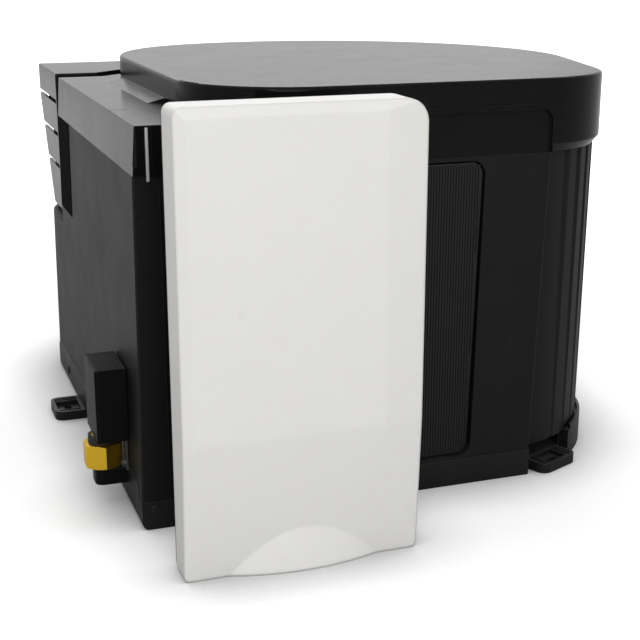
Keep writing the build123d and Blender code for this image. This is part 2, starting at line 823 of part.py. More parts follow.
def flue_path():
    with BuildLine(side_plane(flue_x)) as path:
        Line((front + flange_depths[0], burner_height), (front + flue_turn_depth, burner_height))
        CenterArc((front + flue_turn_depth, burner_height + flue_turn_radius), flue_turn_radius, -90, 180)
        Line((front + flue_turn_depth, flue_height), (front + flange_depths[0], flue_height))
    return path.wire()


with BuildPart() as heat_exchanger:
    block(flange_runs, flange_depths, flange_heights)
    with BuildSketch(front_plane(front + flange_depths[0])):
        with Locations((flue_x, burner_height)):
            Circle(flue_radius)
    sweep(path=flue_path())
    with BuildSketch(front_plane(front + flange_depths[0])):
        with Locations((flue_x, burner_height)):
            Circle(flue_radius - flue_wall)
    sweep(path=flue_path(), mode=Mode.SUBTRACT)
finish(heat_exchanger.part, "heat_exchanger")


# Burner: a housing with its gasket, the slotted tube, the injector and the two electrodes

burner_wall = 2.0
burner_runs = (67.0, 143.0)
burner_depths = (12.0, 38.8)
burner_reach = 36.0
burner_heights = (burner_height - burner_reach, burner_height + burner_reach)
burner_tube_radius = 16.0
burner_tube_wall = 1.2
burner_tube_depths = (34.0, 160.0)
burner_slot_depths = (60.0, 150.0)
burner_slot_width = 2.4
burner_slot_angles = (30, 60, 90, 120, 150)
burner_pipe_radius = 3.0
burner_pipe_run = 31.0
burner_pipe_depth = 26.0
nozzle_radius = 3.6
nozzle_hole_radius = 1.2
nozzle_end = 33.0
electrode_reach = 20.0
electrode_angles = {"ignition_electrode": 60, "flame_electrode": 120}
rod_radius = 1.2
ceramic_radius = 3.2
ceramic_depths = (20.0, 52.0)
rod_depths = (15.0, 84.0)
ring_radius = flue_radius - flue_wall


def electrode_spot(angle):
    return on_circle((flue_run, burner_height), electrode_reach, angle)


with BuildPart() as burner_housing:
    block(burner_runs, burner_depths, burner_heights)
    block(
        [run + inset for run, inset in zip(burner_runs, (burner_wall, -burner_wall))],
        [depth + inset for depth, inset in zip(burner_depths, (burner_wall, -burner_wall))],
        [height + inset for height, inset in zip(burner_heights, (burner_wall, -burner_wall))],
        Mode.SUBTRACT,
    )
    bar_y(duct_radius + seat_gap, flue_run, burner_height, (0, burner_pipe_depth), Mode.SUBTRACT)
    bar_y(burner_tube_radius + running_gap, flue_run, burner_height, (burner_pipe_depth, flange_depths[0]), Mode.SUBTRACT)
    bar_x(burner_pipe_radius + running_gap, burner_pipe_depth, burner_height, (burner_pipe_run, flue_run), Mode.SUBTRACT)
    for angle in electrode_angles.values():
        run, height = electrode_spot(angle)
        bar_y(ceramic_radius + running_gap, run, height, (burner_pipe_depth, flange_depths[0]), Mode.SUBTRACT)
finish(burner_housing.part, "burner_housing")

with BuildPart() as burner_gasket:
    block(burner_runs, (burner_depths[1], flange_depths[0]), burner_heights)
    bar_y(ring_radius, flue_run, burner_height, (0, flange_depths[0]), Mode.SUBTRACT)
finish(burner_gasket.part, "burner_gasket")

with BuildPart() as burner_tube:
    bar_y(burner_tube_radius, flue_run, burner_height, burner_tube_depths)
    tube_bore_depths = (burner_tube_depths[0], burner_tube_depths[1] - burner_tube_wall)
    bar_y(burner_tube_radius - burner_tube_wall, flue_run, burner_height, tube_bore_depths, Mode.SUBTRACT)
    for angle in burner_slot_angles:
        slot_spot = on_circle((flue_x, burner_height), burner_tube_radius, angle)
        slot_middle = front + (burner_slot_depths[0] + burner_slot_depths[1]) / 2
        with Locations(Location((slot_spot[0], slot_middle, slot_spot[1]), (0, -angle, 0))):
            Box(
                2 * burner_slot_width,
                burner_slot_depths[1] - burner_slot_depths[0],
                burner_slot_width,
                mode=Mode.SUBTRACT,
            )
finish(burner_tube.part, "burner_tube")

with BuildPart() as gas_injector:
    bar_x(nozzle_radius, burner_pipe_depth, burner_height, (burner_runs[0] + burner_wall, flue_run + nozzle_radius))
    bar_y(nozzle_radius, flue_run, burner_height, (burner_pipe_depth, nozzle_end))
    bar_y(nozzle_hole_radius, flue_run, burner_height, (burner_pipe_depth, nozzle_end), Mode.SUBTRACT)
    bar_x(nozzle_hole_radius, burner_pipe_depth, burner_height, (burner_runs[0], flue_run), Mode.SUBTRACT)
finish(gas_injector.part, "gas_injector")

for name, angle in electrode_angles.items():
    run, height = electrode_spot(angle)
    with BuildPart() as electrode:
        bar_y(ceramic_radius, run, height, ceramic_depths)
        bar_y(rod_radius, run, height, rod_depths)
    finish(electrode.part, name)


# Gas inlet on the left wall: connection box with cover, nipple, collar, union nut, ring and brackets

box_runs = (-19.6, 0.3)
box_depths = (40.0, 82.0)
box_bottom = 51.0
box_headroom = 16.0
box_heights = (box_bottom, gas_pipe_height + box_headroom)
box_wall = 2.0
box_cover_runs = (-21.5, -19.6)
box_edge_radius = 1.0
inlet_run = -14.9
inlet_depth = gas_pipe_run
nipple_radius = 7.5
nipple_neck_radius = 4.5
nipple_heights = (38.5, 60.0)
nipple_socket_height = 46.0
pipe_bore_radius = 3.0
gas_bore_radius = pipe_radius + 0.2
seal_radius = 10.0
nut_radius = 14.4
nut_flats = 25.0
nut_heights = (28.0, 45.5)
nut_shelf = 4.0
nut_chamfer = 1.8
ring_heights = (32.9, 37.6)
cutting_ring_radius = 7.3
clip_runs = (-22.0, 0.0)
clip_depths = (50.0, 70.0)
clip_heights = (15.5, 27.0)
clip_hole_radius = 4.6
clip_corner = 6.0
strap_runs = (-1.6, 0.0)
strap_depths = (43.0, 51.0)
strap_heights = (27.3, 50.0)
strap_screw_height = 32.0

with BuildPart() as connection_box:
    block(box_runs, box_depths, box_heights)
    block(
        (box_runs[0] - overrun, box_runs[1] + overrun),
        (box_depths[0] + box_wall, box_depths[1] - box_wall),
        (box_heights[0] + box_wall, box_heights[1] - box_wall),
        Mode.SUBTRACT,
    )
    bar_z(nipple_neck_radius + running_gap, inlet_run, inlet_depth, (tray_height, nipple_heights[1]), Mode.SUBTRACT)
finish(connection_box.part, "connection_box")

with BuildPart() as connection_box_cover:
    block(box_cover_runs, box_depths, box_heights)
    fillet(connection_box_cover.faces().sort_by(Axis.X)[0].edges(), box_edge_radius)
finish(connection_box_cover.part, "connection_box_cover")

with BuildPart() as gas_inlet_nipple:
    bar_z(nipple_radius, inlet_run, inlet_depth, (nipple_heights[0], box_heights[0]))
    bar_z(nipple_neck_radius, inlet_run, inlet_depth, nipple_heights)
    bar_z(gas_bore_radius, inlet_run, inlet_depth, (nipple_heights[0], nipple_socket_height), Mode.SUBTRACT)
    bar_z(pipe_bore_radius, inlet_run, inlet_depth, nipple_heights, Mode.SUBTRACT)
finish(gas_inlet_nipple.part, "gas_inlet_nipple")

with BuildPart() as gas_seal_collar:
    bar_z(seal_radius, inlet_run, inlet_depth, (nut_heights[1] + running_gap, box_heights[0]))
    bar_z(nipple_radius + running_gap, inlet_run, inlet_depth, (nut_heights[0], box_heights[1]), Mode.SUBTRACT)
finish(gas_seal_collar.part, "gas_seal_collar")

with BuildPart() as gas_union_nut:
    bar_z(nut_radius, inlet_run, inlet_depth, nut_heights)
    chamfer(gas_union_nut.edges().filter_by(GeomType.CIRCLE), nut_chamfer / 2, nut_chamfer)
    with BuildSketch(level(nut_heights[0])):
        with Locations((left + inlet_run, front + inlet_depth)):
            RegularPolygon(nut_flats / 2, 6, major_radius=False, rotation=30)
    extrude(amount=nut_heights[1] - nut_heights[0], mode=Mode.INTERSECT)
    bar_z(gas_bore_radius, inlet_run, inlet_depth, nut_heights, Mode.SUBTRACT)
    nut_cavity = (nut_heights[0] + nut_shelf, nut_heights[1])
    bar_z(nipple_radius + running_gap, inlet_run, inlet_depth, nut_cavity, Mode.SUBTRACT)
finish(gas_union_nut.part, "gas_union_nut")

with BuildPart() as cutting_ring:
    bar_z(cutting_ring_radius, inlet_run, inlet_depth, ring_heights)
    bar_z(gas_bore_radius, inlet_run, inlet_depth, ring_heights, Mode.SUBTRACT)
finish(cutting_ring.part, "cutting_ring")

with BuildPart() as pipe_bracket:
    block(clip_runs, clip_depths, clip_heights)
    fillet(pipe_bracket.edges().filter_by(Axis.Z).group_by(Axis.X)[0], clip_corner)
    bar_z(clip_hole_radius, inlet_run, inlet_depth, (0, nut_heights[0]), Mode.SUBTRACT)
finish(pipe_bracket.part, "pipe_bracket")

with BuildPart() as gas_bracket:
    block(strap_runs, strap_depths, strap_heights)
    bar_x(screw_head_radius, (strap_depths[0] + strap_depths[1]) / 2, strap_screw_height, (2 * strap_runs[0], 0))
finish(gas_bracket.part, "gas_bracket")


# Gas line: the pipes from the inlet to the valve and on to the burner, and the magnet valve

pipe_bend = 12.0
valve_runs = (5.0, 36.0)
valve_share = 0.6
valve_length = 45.0
valve_depths = (valve_share * tank_depth, valve_share * tank_depth + valve_length)
valve_reaches = (18.0, 14.0)
valve_heights = (burner_height - valve_reaches[0], burner_height + valve_reaches[1])
valve_pipe_run = 17.0
guide_run = 20.5
guide_spot = (guide_run, (valve_depths[0] + valve_depths[1]) / 2)
guide_radius = 6.0
guide_bore_radius = 5.0
guide_length = 34.0
guide_bore_length = 37.0
guide_wall = 3.0
coil_radius = 14.0
coil_length = 30.5
plunger_radius = guide_bore_radius - running_gap
plunger_length = 22.0
guide_heights = (valve_heights[1], valve_heights[1] + guide_length)
guide_bore_top = guide_heights[1] - guide_wall
guide_bore_heights = (guide_bore_top - guide_bore_length, guide_bore_top)
coil_heights = (valve_heights[1], valve_heights[1] + coil_length)
plunger_heights = (guide_bore_heights[0], guide_bore_heights[0] + plunger_length)
spring_wire = 0.5
spring_reach = 3.6
spring_pitch = 2.5


def pipe_line(*points):
    with BuildLine() as line:
        FilletPolyline(*[(left + run, front + depth, height) for run, depth, height in points], radius=pipe_bend)
    return line.wire()


gas_line = pipe_line(
    (inlet_run, inlet_depth, nipple_heights[1]),
    (inlet_run, inlet_depth, gas_pipe_height),
    (valve_pipe_run, inlet_depth, gas_pipe_height),
    (valve_pipe_run, valve_depths[0], gas_pipe_height),
)
burner_line = pipe_line(
    (burner_pipe_run, valve_depths[0], burner_height),
    (burner_pipe_run, burner_pipe_depth, burner_height),
    (burner_runs[0] + burner_wall, burner_pipe_depth, burner_height),
)

with BuildPart() as gas_pipe:
    with BuildSketch(Plane(origin=gas_line @ 0, z_dir=gas_line % 0)):
        Circle(pipe_radius)
        Circle(pipe_bore_radius, mode=Mode.SUBTRACT)
    sweep(path=gas_line)
finish(gas_pipe.part, "gas_pipe")

with BuildPart() as burner_gas_pipe:
    with BuildSketch(Plane(origin=burner_line @ 0, z_dir=burner_line % 0)):
        Circle(burner_pipe_radius)
        Circle(2 * nozzle_hole_radius, mode=Mode.SUBTRACT)
    sweep(path=burner_line)
finish(burner_gas_pipe.part, "burner_gas_pipe")

with BuildPart() as gas_valve:
    block(valve_runs, valve_depths, valve_heights)
    bar_z(guide_radius, *guide_spot, guide_heights)
    bar_z(guide_bore_radius, *guide_spot, guide_bore_heights, Mode.SUBTRACT)
finish(gas_valve.part, "gas_valve")

with BuildPart() as gas_valve_coil:
    bar_z(coil_radius, *guide_spot, coil_heights)
    bar_z(guide_radius + running_gap, *guide_spot, coil_heights, Mode.SUBTRACT)
finish(gas_valve_coil.part, "gas_valve_coil")

with BuildPart() as gas_valve_plunger:
    bar_z(plunger_radius, *guide_spot, plunger_heights)
finish(gas_valve_plunger.part, "gas_valve_plunger")

spring_length = guide_bore_heights[1] - plunger_heights[1] - 2 * spring_wire - seat_gap
spring_start = (left + guide_spot[0], front + guide_spot[1], plunger_heights[1] + spring_wire + seat_gap / 2)

with BuildPart() as gas_valve_spring:
    with BuildLine():
        coil_line = Helix(spring_pitch, spring_length, spring_reach, center=spring_start)
    with BuildSketch(Plane(origin=coil_line @ 0, z_dir=coil_line % 0)):
        Circle(spring_wire)
    sweep(path=coil_line, is_frenet=True)
finish(gas_valve_spring.part, "gas_valve_spring")


# Sensors on the tank, and the control unit on the left wall

sensor_runs = (54.0, 76.0)
sensor_head_radius = 6.0
sensor_head_runs = (47.0, 54.0)
switch_runs = (50.0, 59.7)
unit_runs = (5.7, 36.0)
unit_share = 0.5
unit_margin = 6.0
unit_end = pocket_start - unit_margin
unit_depths = (unit_end - unit_share * tank_depth, unit_end)
unit_heights = (70.0, 190.0)
unit_wall = 2.0
board_runs = (14.0, 15.6)
relay_runs = (15.6, 30.0)
relay_reaches = (10.0, 28.0)
relay_depths = (unit_depths[0] + relay_reaches[0], unit_depths[0] + relay_reaches[1])
relay_height = 24.0
relay_pitch = 34.0
relay_start = 80.0
relay_count = 3

with BuildPart() as temperature_sensor:
    bar_x(sensor_radius, sensor_depth, sensor_height, sensor_runs)
    bar_x(sensor_head_radius, sensor_depth, sensor_height, sensor_head_runs)
finish(temperature_sensor.part, "temperature_sensor")

with BuildPart() as overheat_switch:
    bar_x(switch_radius, sensor_depth, switch_height, switch_runs)
finish(overheat_switch.part, "overheat_switch")

with BuildPart() as control_housing:
    block(unit_runs, unit_depths, unit_heights)
    block(
        (unit_runs[0] + unit_wall, unit_runs[1] - unit_wall),
        (unit_depths[0] + unit_wall, unit_depths[1] - unit_wall),
        (unit_heights[0] + unit_wall, unit_heights[1] - unit_wall),
        Mode.SUBTRACT,
    )
finish(control_housing.part, "control_housing")

with BuildPart() as control_board:
    block(
        board_runs,
        (unit_depths[0] + unit_wall + seat_gap, unit_depths[1] - unit_wall - seat_gap),
        (unit_heights[0] + unit_wall + seat_gap, unit_heights[1] - unit_wall - seat_gap),
    )
    for row in range(relay_count):
        relay_bottom = relay_start + row * relay_pitch
        block(relay_runs, relay_depths, (relay_bottom, relay_bottom + relay_height))
finish(control_board.part, "control_board")


# Water pipes at the back with their union nuts. The hot one starts near the top of the tank.

water_bore_radius = 5.0
water_pipe_reach = 25.0
cold_inlet_run = 140.0
riser_drop = 24.0
barb_radius = 7.8
barb_backs = (8.0, 4.0)
water_nut_flats = 24.0
water_nut_backs = (26.0, 12.0)
water_nut_radius = water_pipe_radius + running_gap
collar_radius = 9.0
collar_backs = (28.4, 26.1)
stop_backs = (11.9, 9.6)
water_pipe_end = case_depth + water_pipe_reach


def before_end(backs):
    return [water_pipe_end - back for back in backs]


def water_pipe(height, start, name):
    line = pipe_line(*start, (water_run, water_pipe_end, height))
    with BuildPart() as pipe:
        with BuildSketch(Plane(origin=line @ 0, z_dir=line % 0)):
            Circle(water_pipe_radius)
        sweep(path=line)
        bar_y(barb_radius, water_run, height, before_end(barb_backs))
        bar_y(collar_radius, water_run, height, before_end(collar_backs))
        bar_y(collar_radius, water_run, height, before_end(stop_backs))
        with BuildSketch(Plane(origin=line @ 0, z_dir=line % 0)):
            Circle(water_bore_radius)
        sweep(path=line, mode=Mode.SUBTRACT)
    finish(pipe.part, name)


def water_nut(height, name):
    nut_depths = before_end(water_nut_backs)
    with BuildPart() as nut:
        with BuildSketch(front_plane(front + nut_depths[0])):
            with Locations((water_x, height)):
                RegularPolygon(water_nut_flats / 2, 6, major_radius=False)
                Circle(water_nut_radius, mode=Mode.SUBTRACT)
        extrude(amount=nut_depths[0] - nut_depths[1])
        chamfer(nut.edges().filter_by(GeomType.LINE).filter_by(Axis.Y, reverse=True), box_edge_radius)
    finish(nut.part, name)


cold_start = ((cold_inlet_run, riser_depth, cold_height), (water_run, riser_depth, cold_height))
hot_start = ((water_run, riser_depth, tank_top - riser_drop), (water_run, riser_depth, hot_height))
water_pipe(cold_height, cold_start, "cold_water_pipe")
water_pipe(hot_height, hot_start, "hot_water_pipe")
water_nut(cold_height, "cold_union_nut")
water_nut(hot_height, "hot_union_nut")


# Ducts from the cowl to the burner and the flue, with their seals on the casing

duct_wall = 1.2
duct_start = -61.0
intake_end = 13.8
exhaust_end = 50.0
seal_outer_radius = 30.0
seal_thickness = 2.0
seal_seat = seam_front_inset + cowl_recess_depth


def duct(height, end, name):
    with BuildPart() as tube:
        bar_y(duct_radius, flue_run, height, (duct_start, end))
        bar_y(duct_radius - duct_wall, flue_run, height, (duct_start, end), Mode.SUBTRACT)
    finish(tube.part, name)


duct(burner_height, intake_end, "intake_duct")
duct(flue_height, exhaust_end, "exhaust_duct")

with BuildPart() as duct_seals:
    for height in (burner_height, flue_height):
        bar_y(seal_outer_radius, flue_run, height, (seal_seat - seal_thickness, seal_seat))
        bar_y(duct_radius + running_gap, flue_run, height, (0, case_depth), Mode.SUBTRACT)
finish(duct_seals.part, "duct_seals")


# Cowl: a cover with bevelled sides and a grip lip, on a frame with a baffle and a seal

cover_runs = (9.0, 166.0)
cover_rim = -61.7
cover_edge = -88.0
cover_panel = -92.0
cover_rise = 1.4
cover_top_drop = 6.4
cover_panel_runs = (15.7, 139.4)
cover_crease = 93.0
cover_foot = -82.4
cover_wall = 2.5
cover_left_radius = 5.5
cover_right_radius = 15.0
cover_bottom_radius = 4.0
cover_edge_radius = 1.2
lip_run = 88.0
lip_radius = 151.0
lip_cone_top = 28.0
lip_cone_shrink = 5.6
lip_bulge = 8.5
cover_top = case_height + cover_rise
cover_top_bevel = cover_top - cover_top_drop


def cover_outline(inset):
    span = (left + cover_runs[0] + inset, left + cover_runs[1] - inset)
    with Locations((span[0], inset)):
        Rectangle(span[1] - span[0], cover_top - 2 * inset, align=(Align.MIN, Align.MIN))
    fillet(vertices().sort_by_distance((span[0], cover_top))[0], cover_left_radius)
    fillet(vertices().sort_by_distance((span[1], cover_top))[0], cover_right_radius - inset)
    fillet(vertices().group_by(Axis.Y)[0], cover_bottom_radius)


def cover_body(inset, start, mode):
    panel = front + cover_panel + inset
    edge = front + cover_edge + inset
    runs = (left + cover_runs[0] + inset, left + cover_runs[1] - inset)
    bevels = (left + cover_panel_runs[0] + inset, left + cover_panel_runs[1])
    with BuildPart(mode=Mode.PRIVATE) as body:
        with BuildSketch(front_plane(start)):
            cover_outline(inset)
        extrude(amount=start - panel)
        with BuildSketch(side_plane(left)):
            with BuildLine():
                Polyline(
                    (panel - overrun, -overrun),
                    (front + cover_foot + inset, -overrun),
                    (front + cover_foot + inset, 0),
                    (panel, cover_crease),
                    (panel, cover_top_bevel - inset),
                    (edge, cover_top - inset),
                    (edge, cover_top + overrun),
                    (panel - overrun, cover_top + overrun),
                    close=True,
                )
            make_face()
        extrude(amount=case_width, mode=Mode.SUBTRACT)
        with BuildSketch(level(cover_crease)):
            for outer, inner in zip(runs, bevels):
                beyond = panel - overrun
                with BuildLine():
                    Polyline((outer, edge), (inner, panel), (inner, beyond), (outer, beyond), close=True)
                make_face()
        extrude(amount=cover_top, mode=Mode.SUBTRACT)
        # Below the crease each bevel runs out in a slanted facet
        for outer, inner in zip(runs, bevels):
            across = Vector(outer - inner, edge - panel, 0)
            down = Vector(0, front + cover_foot + inset - edge, -cover_crease)
            inwards = across.cross(down)
            inwards = inwards if inwards.Y > 0 else -inwards
            split(bisect_by=Plane(origin=(inner, panel, cover_crease), z_dir=inwards), keep=Keep.TOP)
        # The grip lip is a slice of a cone that leans back as it rises
        cone = Cone(
            lip_radius - inset,
            lip_radius - inset - lip_cone_shrink,
            lip_cone_top - inset,
            align=(Align.CENTER, Align.CENTER, Align.MIN),
            mode=Mode.PRIVATE,
        )
        lip_centre = front + cover_foot - lip_bulge + lip_radius
        grip = cone.moved(Location((left + lip_run, lip_centre, inset)))
        rest = Box(3 * lip_radius, 3 * lip_radius, case_height, mode=Mode.PRIVATE)
        add(grip - rest.moved(Location((left + lip_run, front + cover_foot + 3 * lip_radius / 2 + wall, 0))))
    add(body.part, mode=mode)


with BuildPart() as cowl_cover:
    cover_body(0, front + cover_rim, Mode.ADD)
    cover_body(cover_wall, front + cover_rim + overrun, Mode.SUBTRACT)
finish(cowl_cover.part, "cowl_cover")

frame_depths = (-61.2, -58.2)
frame_inset = 0.5
frame_rim_inset = 2.9
frame_rim_width = 2.0
frame_rim_depth = -72.0
frame_hole_x = 65.0
frame_hole_margin = 28.2
frame_hole_radius = 2.5
frame_middle = (left + (cover_runs[0] + cover_runs[1]) / 2, cover_top / 2)
baffle_runs = (14.2, 160.8)
baffle_depths = (-84.0, -61.2)
baffle_thickness = 2.0
baffle_bottom = (burner_height + flue_height - baffle_thickness) / 2
frame_seal_insets = (4.0, 9.0)
frame_seal_thickness = 4.0

with BuildPart() as cowl_frame:
    with BuildSketch(front_plane(front + frame_depths[1])):
        cover_outline(frame_inset)
        with Locations((flue_x, burner_height), (flue_x, flue_height)):
            Circle(duct_radius + running_gap, mode=Mode.SUBTRACT)
        with Locations(frame_middle):
            with GridLocations(2 * frame_hole_x, cover_top - 2 * frame_hole_margin, 2, 2):
                Circle(frame_hole_radius, mode=Mode.SUBTRACT)
    extrude(amount=frame_depths[1] - frame_depths[0])
    with BuildSketch(front_plane(front + frame_depths[0])):
        cover_outline(frame_rim_inset)
    extrude(amount=frame_depths[0] - frame_rim_depth)
    with BuildSketch(front_plane(front + frame_depths[0])):
        cover_outline(frame_rim_inset + frame_rim_width)
    extrude(amount=frame_depths[0] - frame_rim_depth, mode=Mode.SUBTRACT)
finish(cowl_frame.part, "cowl_frame")

with BuildPart() as cowl_baffle:
    block(baffle_runs, baffle_depths, (baffle_bottom, baffle_bottom + baffle_thickness))
finish(cowl_baffle.part, "cowl_baffle")

with BuildPart() as cowl_seal:
    with BuildSketch(front_plane(front + frame_depths[1] + frame_seal_thickness)):
        cover_outline(frame_seal_insets[0])
    extrude(amount=frame_seal_thickness)
    with BuildSketch(front_plane(front + frame_depths[1] + frame_seal_thickness)):
        cover_outline(frame_seal_insets[1])
    extrude(amount=frame_seal_thickness, mode=Mode.SUBTRACT)
finish(cowl_seal.part, "cowl_seal")
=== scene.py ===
import bpy
import json
import math
from mathutils import Vector
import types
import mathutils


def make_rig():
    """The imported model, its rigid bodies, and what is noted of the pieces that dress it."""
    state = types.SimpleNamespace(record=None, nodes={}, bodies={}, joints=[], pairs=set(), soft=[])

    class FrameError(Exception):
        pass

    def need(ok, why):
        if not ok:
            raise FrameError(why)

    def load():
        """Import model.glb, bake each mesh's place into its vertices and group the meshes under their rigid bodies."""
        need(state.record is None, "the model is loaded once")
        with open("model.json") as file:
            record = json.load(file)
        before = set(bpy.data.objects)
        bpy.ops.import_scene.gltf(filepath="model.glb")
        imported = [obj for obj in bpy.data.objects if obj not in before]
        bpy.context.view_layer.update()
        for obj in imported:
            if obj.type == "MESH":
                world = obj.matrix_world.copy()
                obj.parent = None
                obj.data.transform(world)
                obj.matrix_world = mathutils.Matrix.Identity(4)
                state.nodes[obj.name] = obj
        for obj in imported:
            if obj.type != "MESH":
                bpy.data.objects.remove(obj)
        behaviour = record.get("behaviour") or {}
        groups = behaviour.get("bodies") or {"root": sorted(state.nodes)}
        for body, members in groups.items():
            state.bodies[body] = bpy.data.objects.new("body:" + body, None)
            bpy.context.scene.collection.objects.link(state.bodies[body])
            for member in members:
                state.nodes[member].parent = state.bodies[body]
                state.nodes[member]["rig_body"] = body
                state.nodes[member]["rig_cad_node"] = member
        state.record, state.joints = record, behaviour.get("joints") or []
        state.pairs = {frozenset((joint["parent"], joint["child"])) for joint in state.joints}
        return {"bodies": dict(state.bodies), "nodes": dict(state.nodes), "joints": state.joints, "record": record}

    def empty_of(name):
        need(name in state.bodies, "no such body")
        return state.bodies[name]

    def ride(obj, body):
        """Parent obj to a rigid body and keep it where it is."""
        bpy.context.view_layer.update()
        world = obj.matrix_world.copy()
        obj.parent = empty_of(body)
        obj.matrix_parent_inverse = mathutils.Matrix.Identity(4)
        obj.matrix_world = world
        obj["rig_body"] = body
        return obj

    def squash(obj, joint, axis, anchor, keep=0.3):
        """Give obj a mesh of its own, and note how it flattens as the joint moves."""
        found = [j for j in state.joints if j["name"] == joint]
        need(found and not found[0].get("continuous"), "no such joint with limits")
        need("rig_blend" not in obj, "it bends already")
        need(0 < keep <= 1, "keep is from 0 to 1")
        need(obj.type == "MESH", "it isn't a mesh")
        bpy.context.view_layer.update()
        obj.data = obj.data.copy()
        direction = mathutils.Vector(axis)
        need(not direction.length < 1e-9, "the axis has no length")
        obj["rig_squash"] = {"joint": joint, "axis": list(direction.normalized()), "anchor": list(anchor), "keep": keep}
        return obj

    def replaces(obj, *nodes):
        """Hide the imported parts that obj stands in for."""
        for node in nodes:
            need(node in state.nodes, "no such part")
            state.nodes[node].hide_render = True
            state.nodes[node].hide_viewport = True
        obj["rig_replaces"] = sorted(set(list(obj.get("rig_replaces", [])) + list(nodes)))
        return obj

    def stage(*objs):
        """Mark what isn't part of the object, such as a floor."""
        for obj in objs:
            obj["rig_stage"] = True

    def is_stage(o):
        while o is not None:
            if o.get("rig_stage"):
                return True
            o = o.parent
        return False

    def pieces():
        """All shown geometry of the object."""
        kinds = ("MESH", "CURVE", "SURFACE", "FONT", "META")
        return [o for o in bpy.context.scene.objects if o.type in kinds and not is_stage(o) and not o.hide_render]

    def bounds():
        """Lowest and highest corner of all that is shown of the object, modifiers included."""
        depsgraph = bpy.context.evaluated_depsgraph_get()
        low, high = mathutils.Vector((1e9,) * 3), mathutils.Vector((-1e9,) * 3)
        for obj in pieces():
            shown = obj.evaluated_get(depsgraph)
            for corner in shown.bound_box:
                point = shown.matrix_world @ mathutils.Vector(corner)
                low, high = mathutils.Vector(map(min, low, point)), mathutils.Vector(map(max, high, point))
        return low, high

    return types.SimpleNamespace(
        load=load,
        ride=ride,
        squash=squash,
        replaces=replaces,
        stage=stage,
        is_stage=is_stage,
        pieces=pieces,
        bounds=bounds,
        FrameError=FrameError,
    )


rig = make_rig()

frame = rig.load()
nodes = frame["nodes"]
lowCorner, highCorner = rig.bounds()
with open("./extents.json", "w") as sizeFile:
    json.dump({"loaded": [list(lowCorner), list(highCorner)]}, sizeFile)
print("stage: frame loaded")

mm = 0.001
caseLeft = -200.0
caseFront = -230.5
bpy.ops.object.select_all(action="DESELECT")


def place(run, depth, height):
    return Vector(((caseLeft + run) * mm, (caseFront + depth) * mm, height * mm))


# Shader groups

def newGroup(name, inputs, outputs):
    group = bpy.data.node_groups.new(name, "ShaderNodeTree")
    for label, kind, value in inputs:
        socket = group.interface.new_socket(name=label, in_out="INPUT", socket_type=kind)
        socket.default_value = value
    for label, kind in outputs:
        group.interface.new_socket(name=label, in_out="OUTPUT", socket_type=kind)
    start = group.nodes.new("NodeGroupInput")
    end = group.nodes.new("NodeGroupOutput")
    return group, start, end


def noiseNode(tree, vector, scale, detail, roughness):
    noise = tree.nodes.new("ShaderNodeTexNoise")
    noise.inputs["Detail"].default_value = detail
    noise.inputs["Roughness"].default_value = roughness
    tree.links.new(vector, noise.inputs["Vector"])
    if isinstance(scale, float):
        noise.inputs["Scale"].default_value = scale
    else:
        tree.links.new(scale, noise.inputs["Scale"])
    return noise.outputs["Fac"]


def mathNode(tree, operation, first, second, clamp=False):
    node = tree.nodes.new("ShaderNodeMath")
    node.operation = operation
    node.use_clamp = clamp
    for socket, value in zip(node.inputs, (first, second)):
        if isinstance(value, (int, float)):
            socket.default_value = value
        else:
            tree.links.new(value, socket)
    return node.outputs[0]


def mixColour(tree, share, first, second):
    node = tree.nodes.new("ShaderNodeMix")
    node.data_type = "RGBA"
    for socket, value in zip((node.inputs[0], node.inputs[6], node.inputs[7]), (share, first, second)):
        if hasattr(value, "is_linked"):
            tree.links.new(value, socket)
        else:
            socket.default_value = value
    return node.outputs[2]


# Fine grain of a moulded or cast surface, as a height for a bump

grainGroup, grainIn, grainOut = newGroup(
    "MouldGrain",
    [
        ("Scale", "NodeSocketFloat", 900.0),
        ("Wave", "NodeSocketFloat", 12.0),
        ("Wave share", "NodeSocketFloat", 0.5),
    ],
    [("Height", "NodeSocketFloat")],
)
grainPlace = grainGroup.nodes.new("ShaderNodeTexCoord").outputs["Object"]
fineGrain = noiseNode(grainGroup, grainPlace, grainIn.outputs["Scale"], 3.0, 0.6)
broadWave = noiseNode(grainGroup, grainPlace, grainIn.outputs["Wave"], 1.0, 0.4)
waveHeight = mathNode(grainGroup, "MULTIPLY", broadWave, grainIn.outputs["Wave share"])
grainHeight = mathNode(grainGroup, "ADD", fineGrain, waveHeight)
grainGroup.links.new(grainHeight, grainOut.inputs["Height"])

# Dust that settles on faces that look up, thicker in patches, and hand marks in the gloss

dustGroup, dustIn, dustOut = newGroup(
    "SettledDust",
    [("Amount", "NodeSocketFloat", 0.3), ("Patch scale", "NodeSocketFloat", 14.0)],
    [("Dust", "NodeSocketFloat"), ("Smudge", "NodeSocketFloat")],
)
dustPlace = dustGroup.nodes.new("ShaderNodeTexCoord").outputs["Object"]
dustNormal = dustGroup.nodes.new("ShaderNodeNewGeometry").outputs["Normal"]
dustSplit = dustGroup.nodes.new("ShaderNodeSeparateXYZ")
dustGroup.links.new(dustNormal, dustSplit.inputs[0])
dustPatch = noiseNode(dustGroup, dustPlace, dustIn.outputs["Patch scale"], 6.0, 0.62)
dustSpeck = noiseNode(dustGroup, dustPlace, 420.0, 2.0, 0.5)
dustUp = mathNode(dustGroup, "MAXIMUM", dustSplit.outputs["Z"], 0.08)
dustField = mathNode(dustGroup, "MULTIPLY", mathNode(dustGroup, "POWER", dustPatch, 2.0), dustSpeck)
dustLying = mathNode(dustGroup, "MULTIPLY", dustUp, dustField)
dustLevel = mathNode(dustGroup, "MULTIPLY", dustLying, dustIn.outputs["Amount"])
dustGroup.links.new(dustLevel, dustOut.inputs["Dust"])
smudgeField = noiseNode(dustGroup, dustPlace, 26.0, 8.0, 0.66)
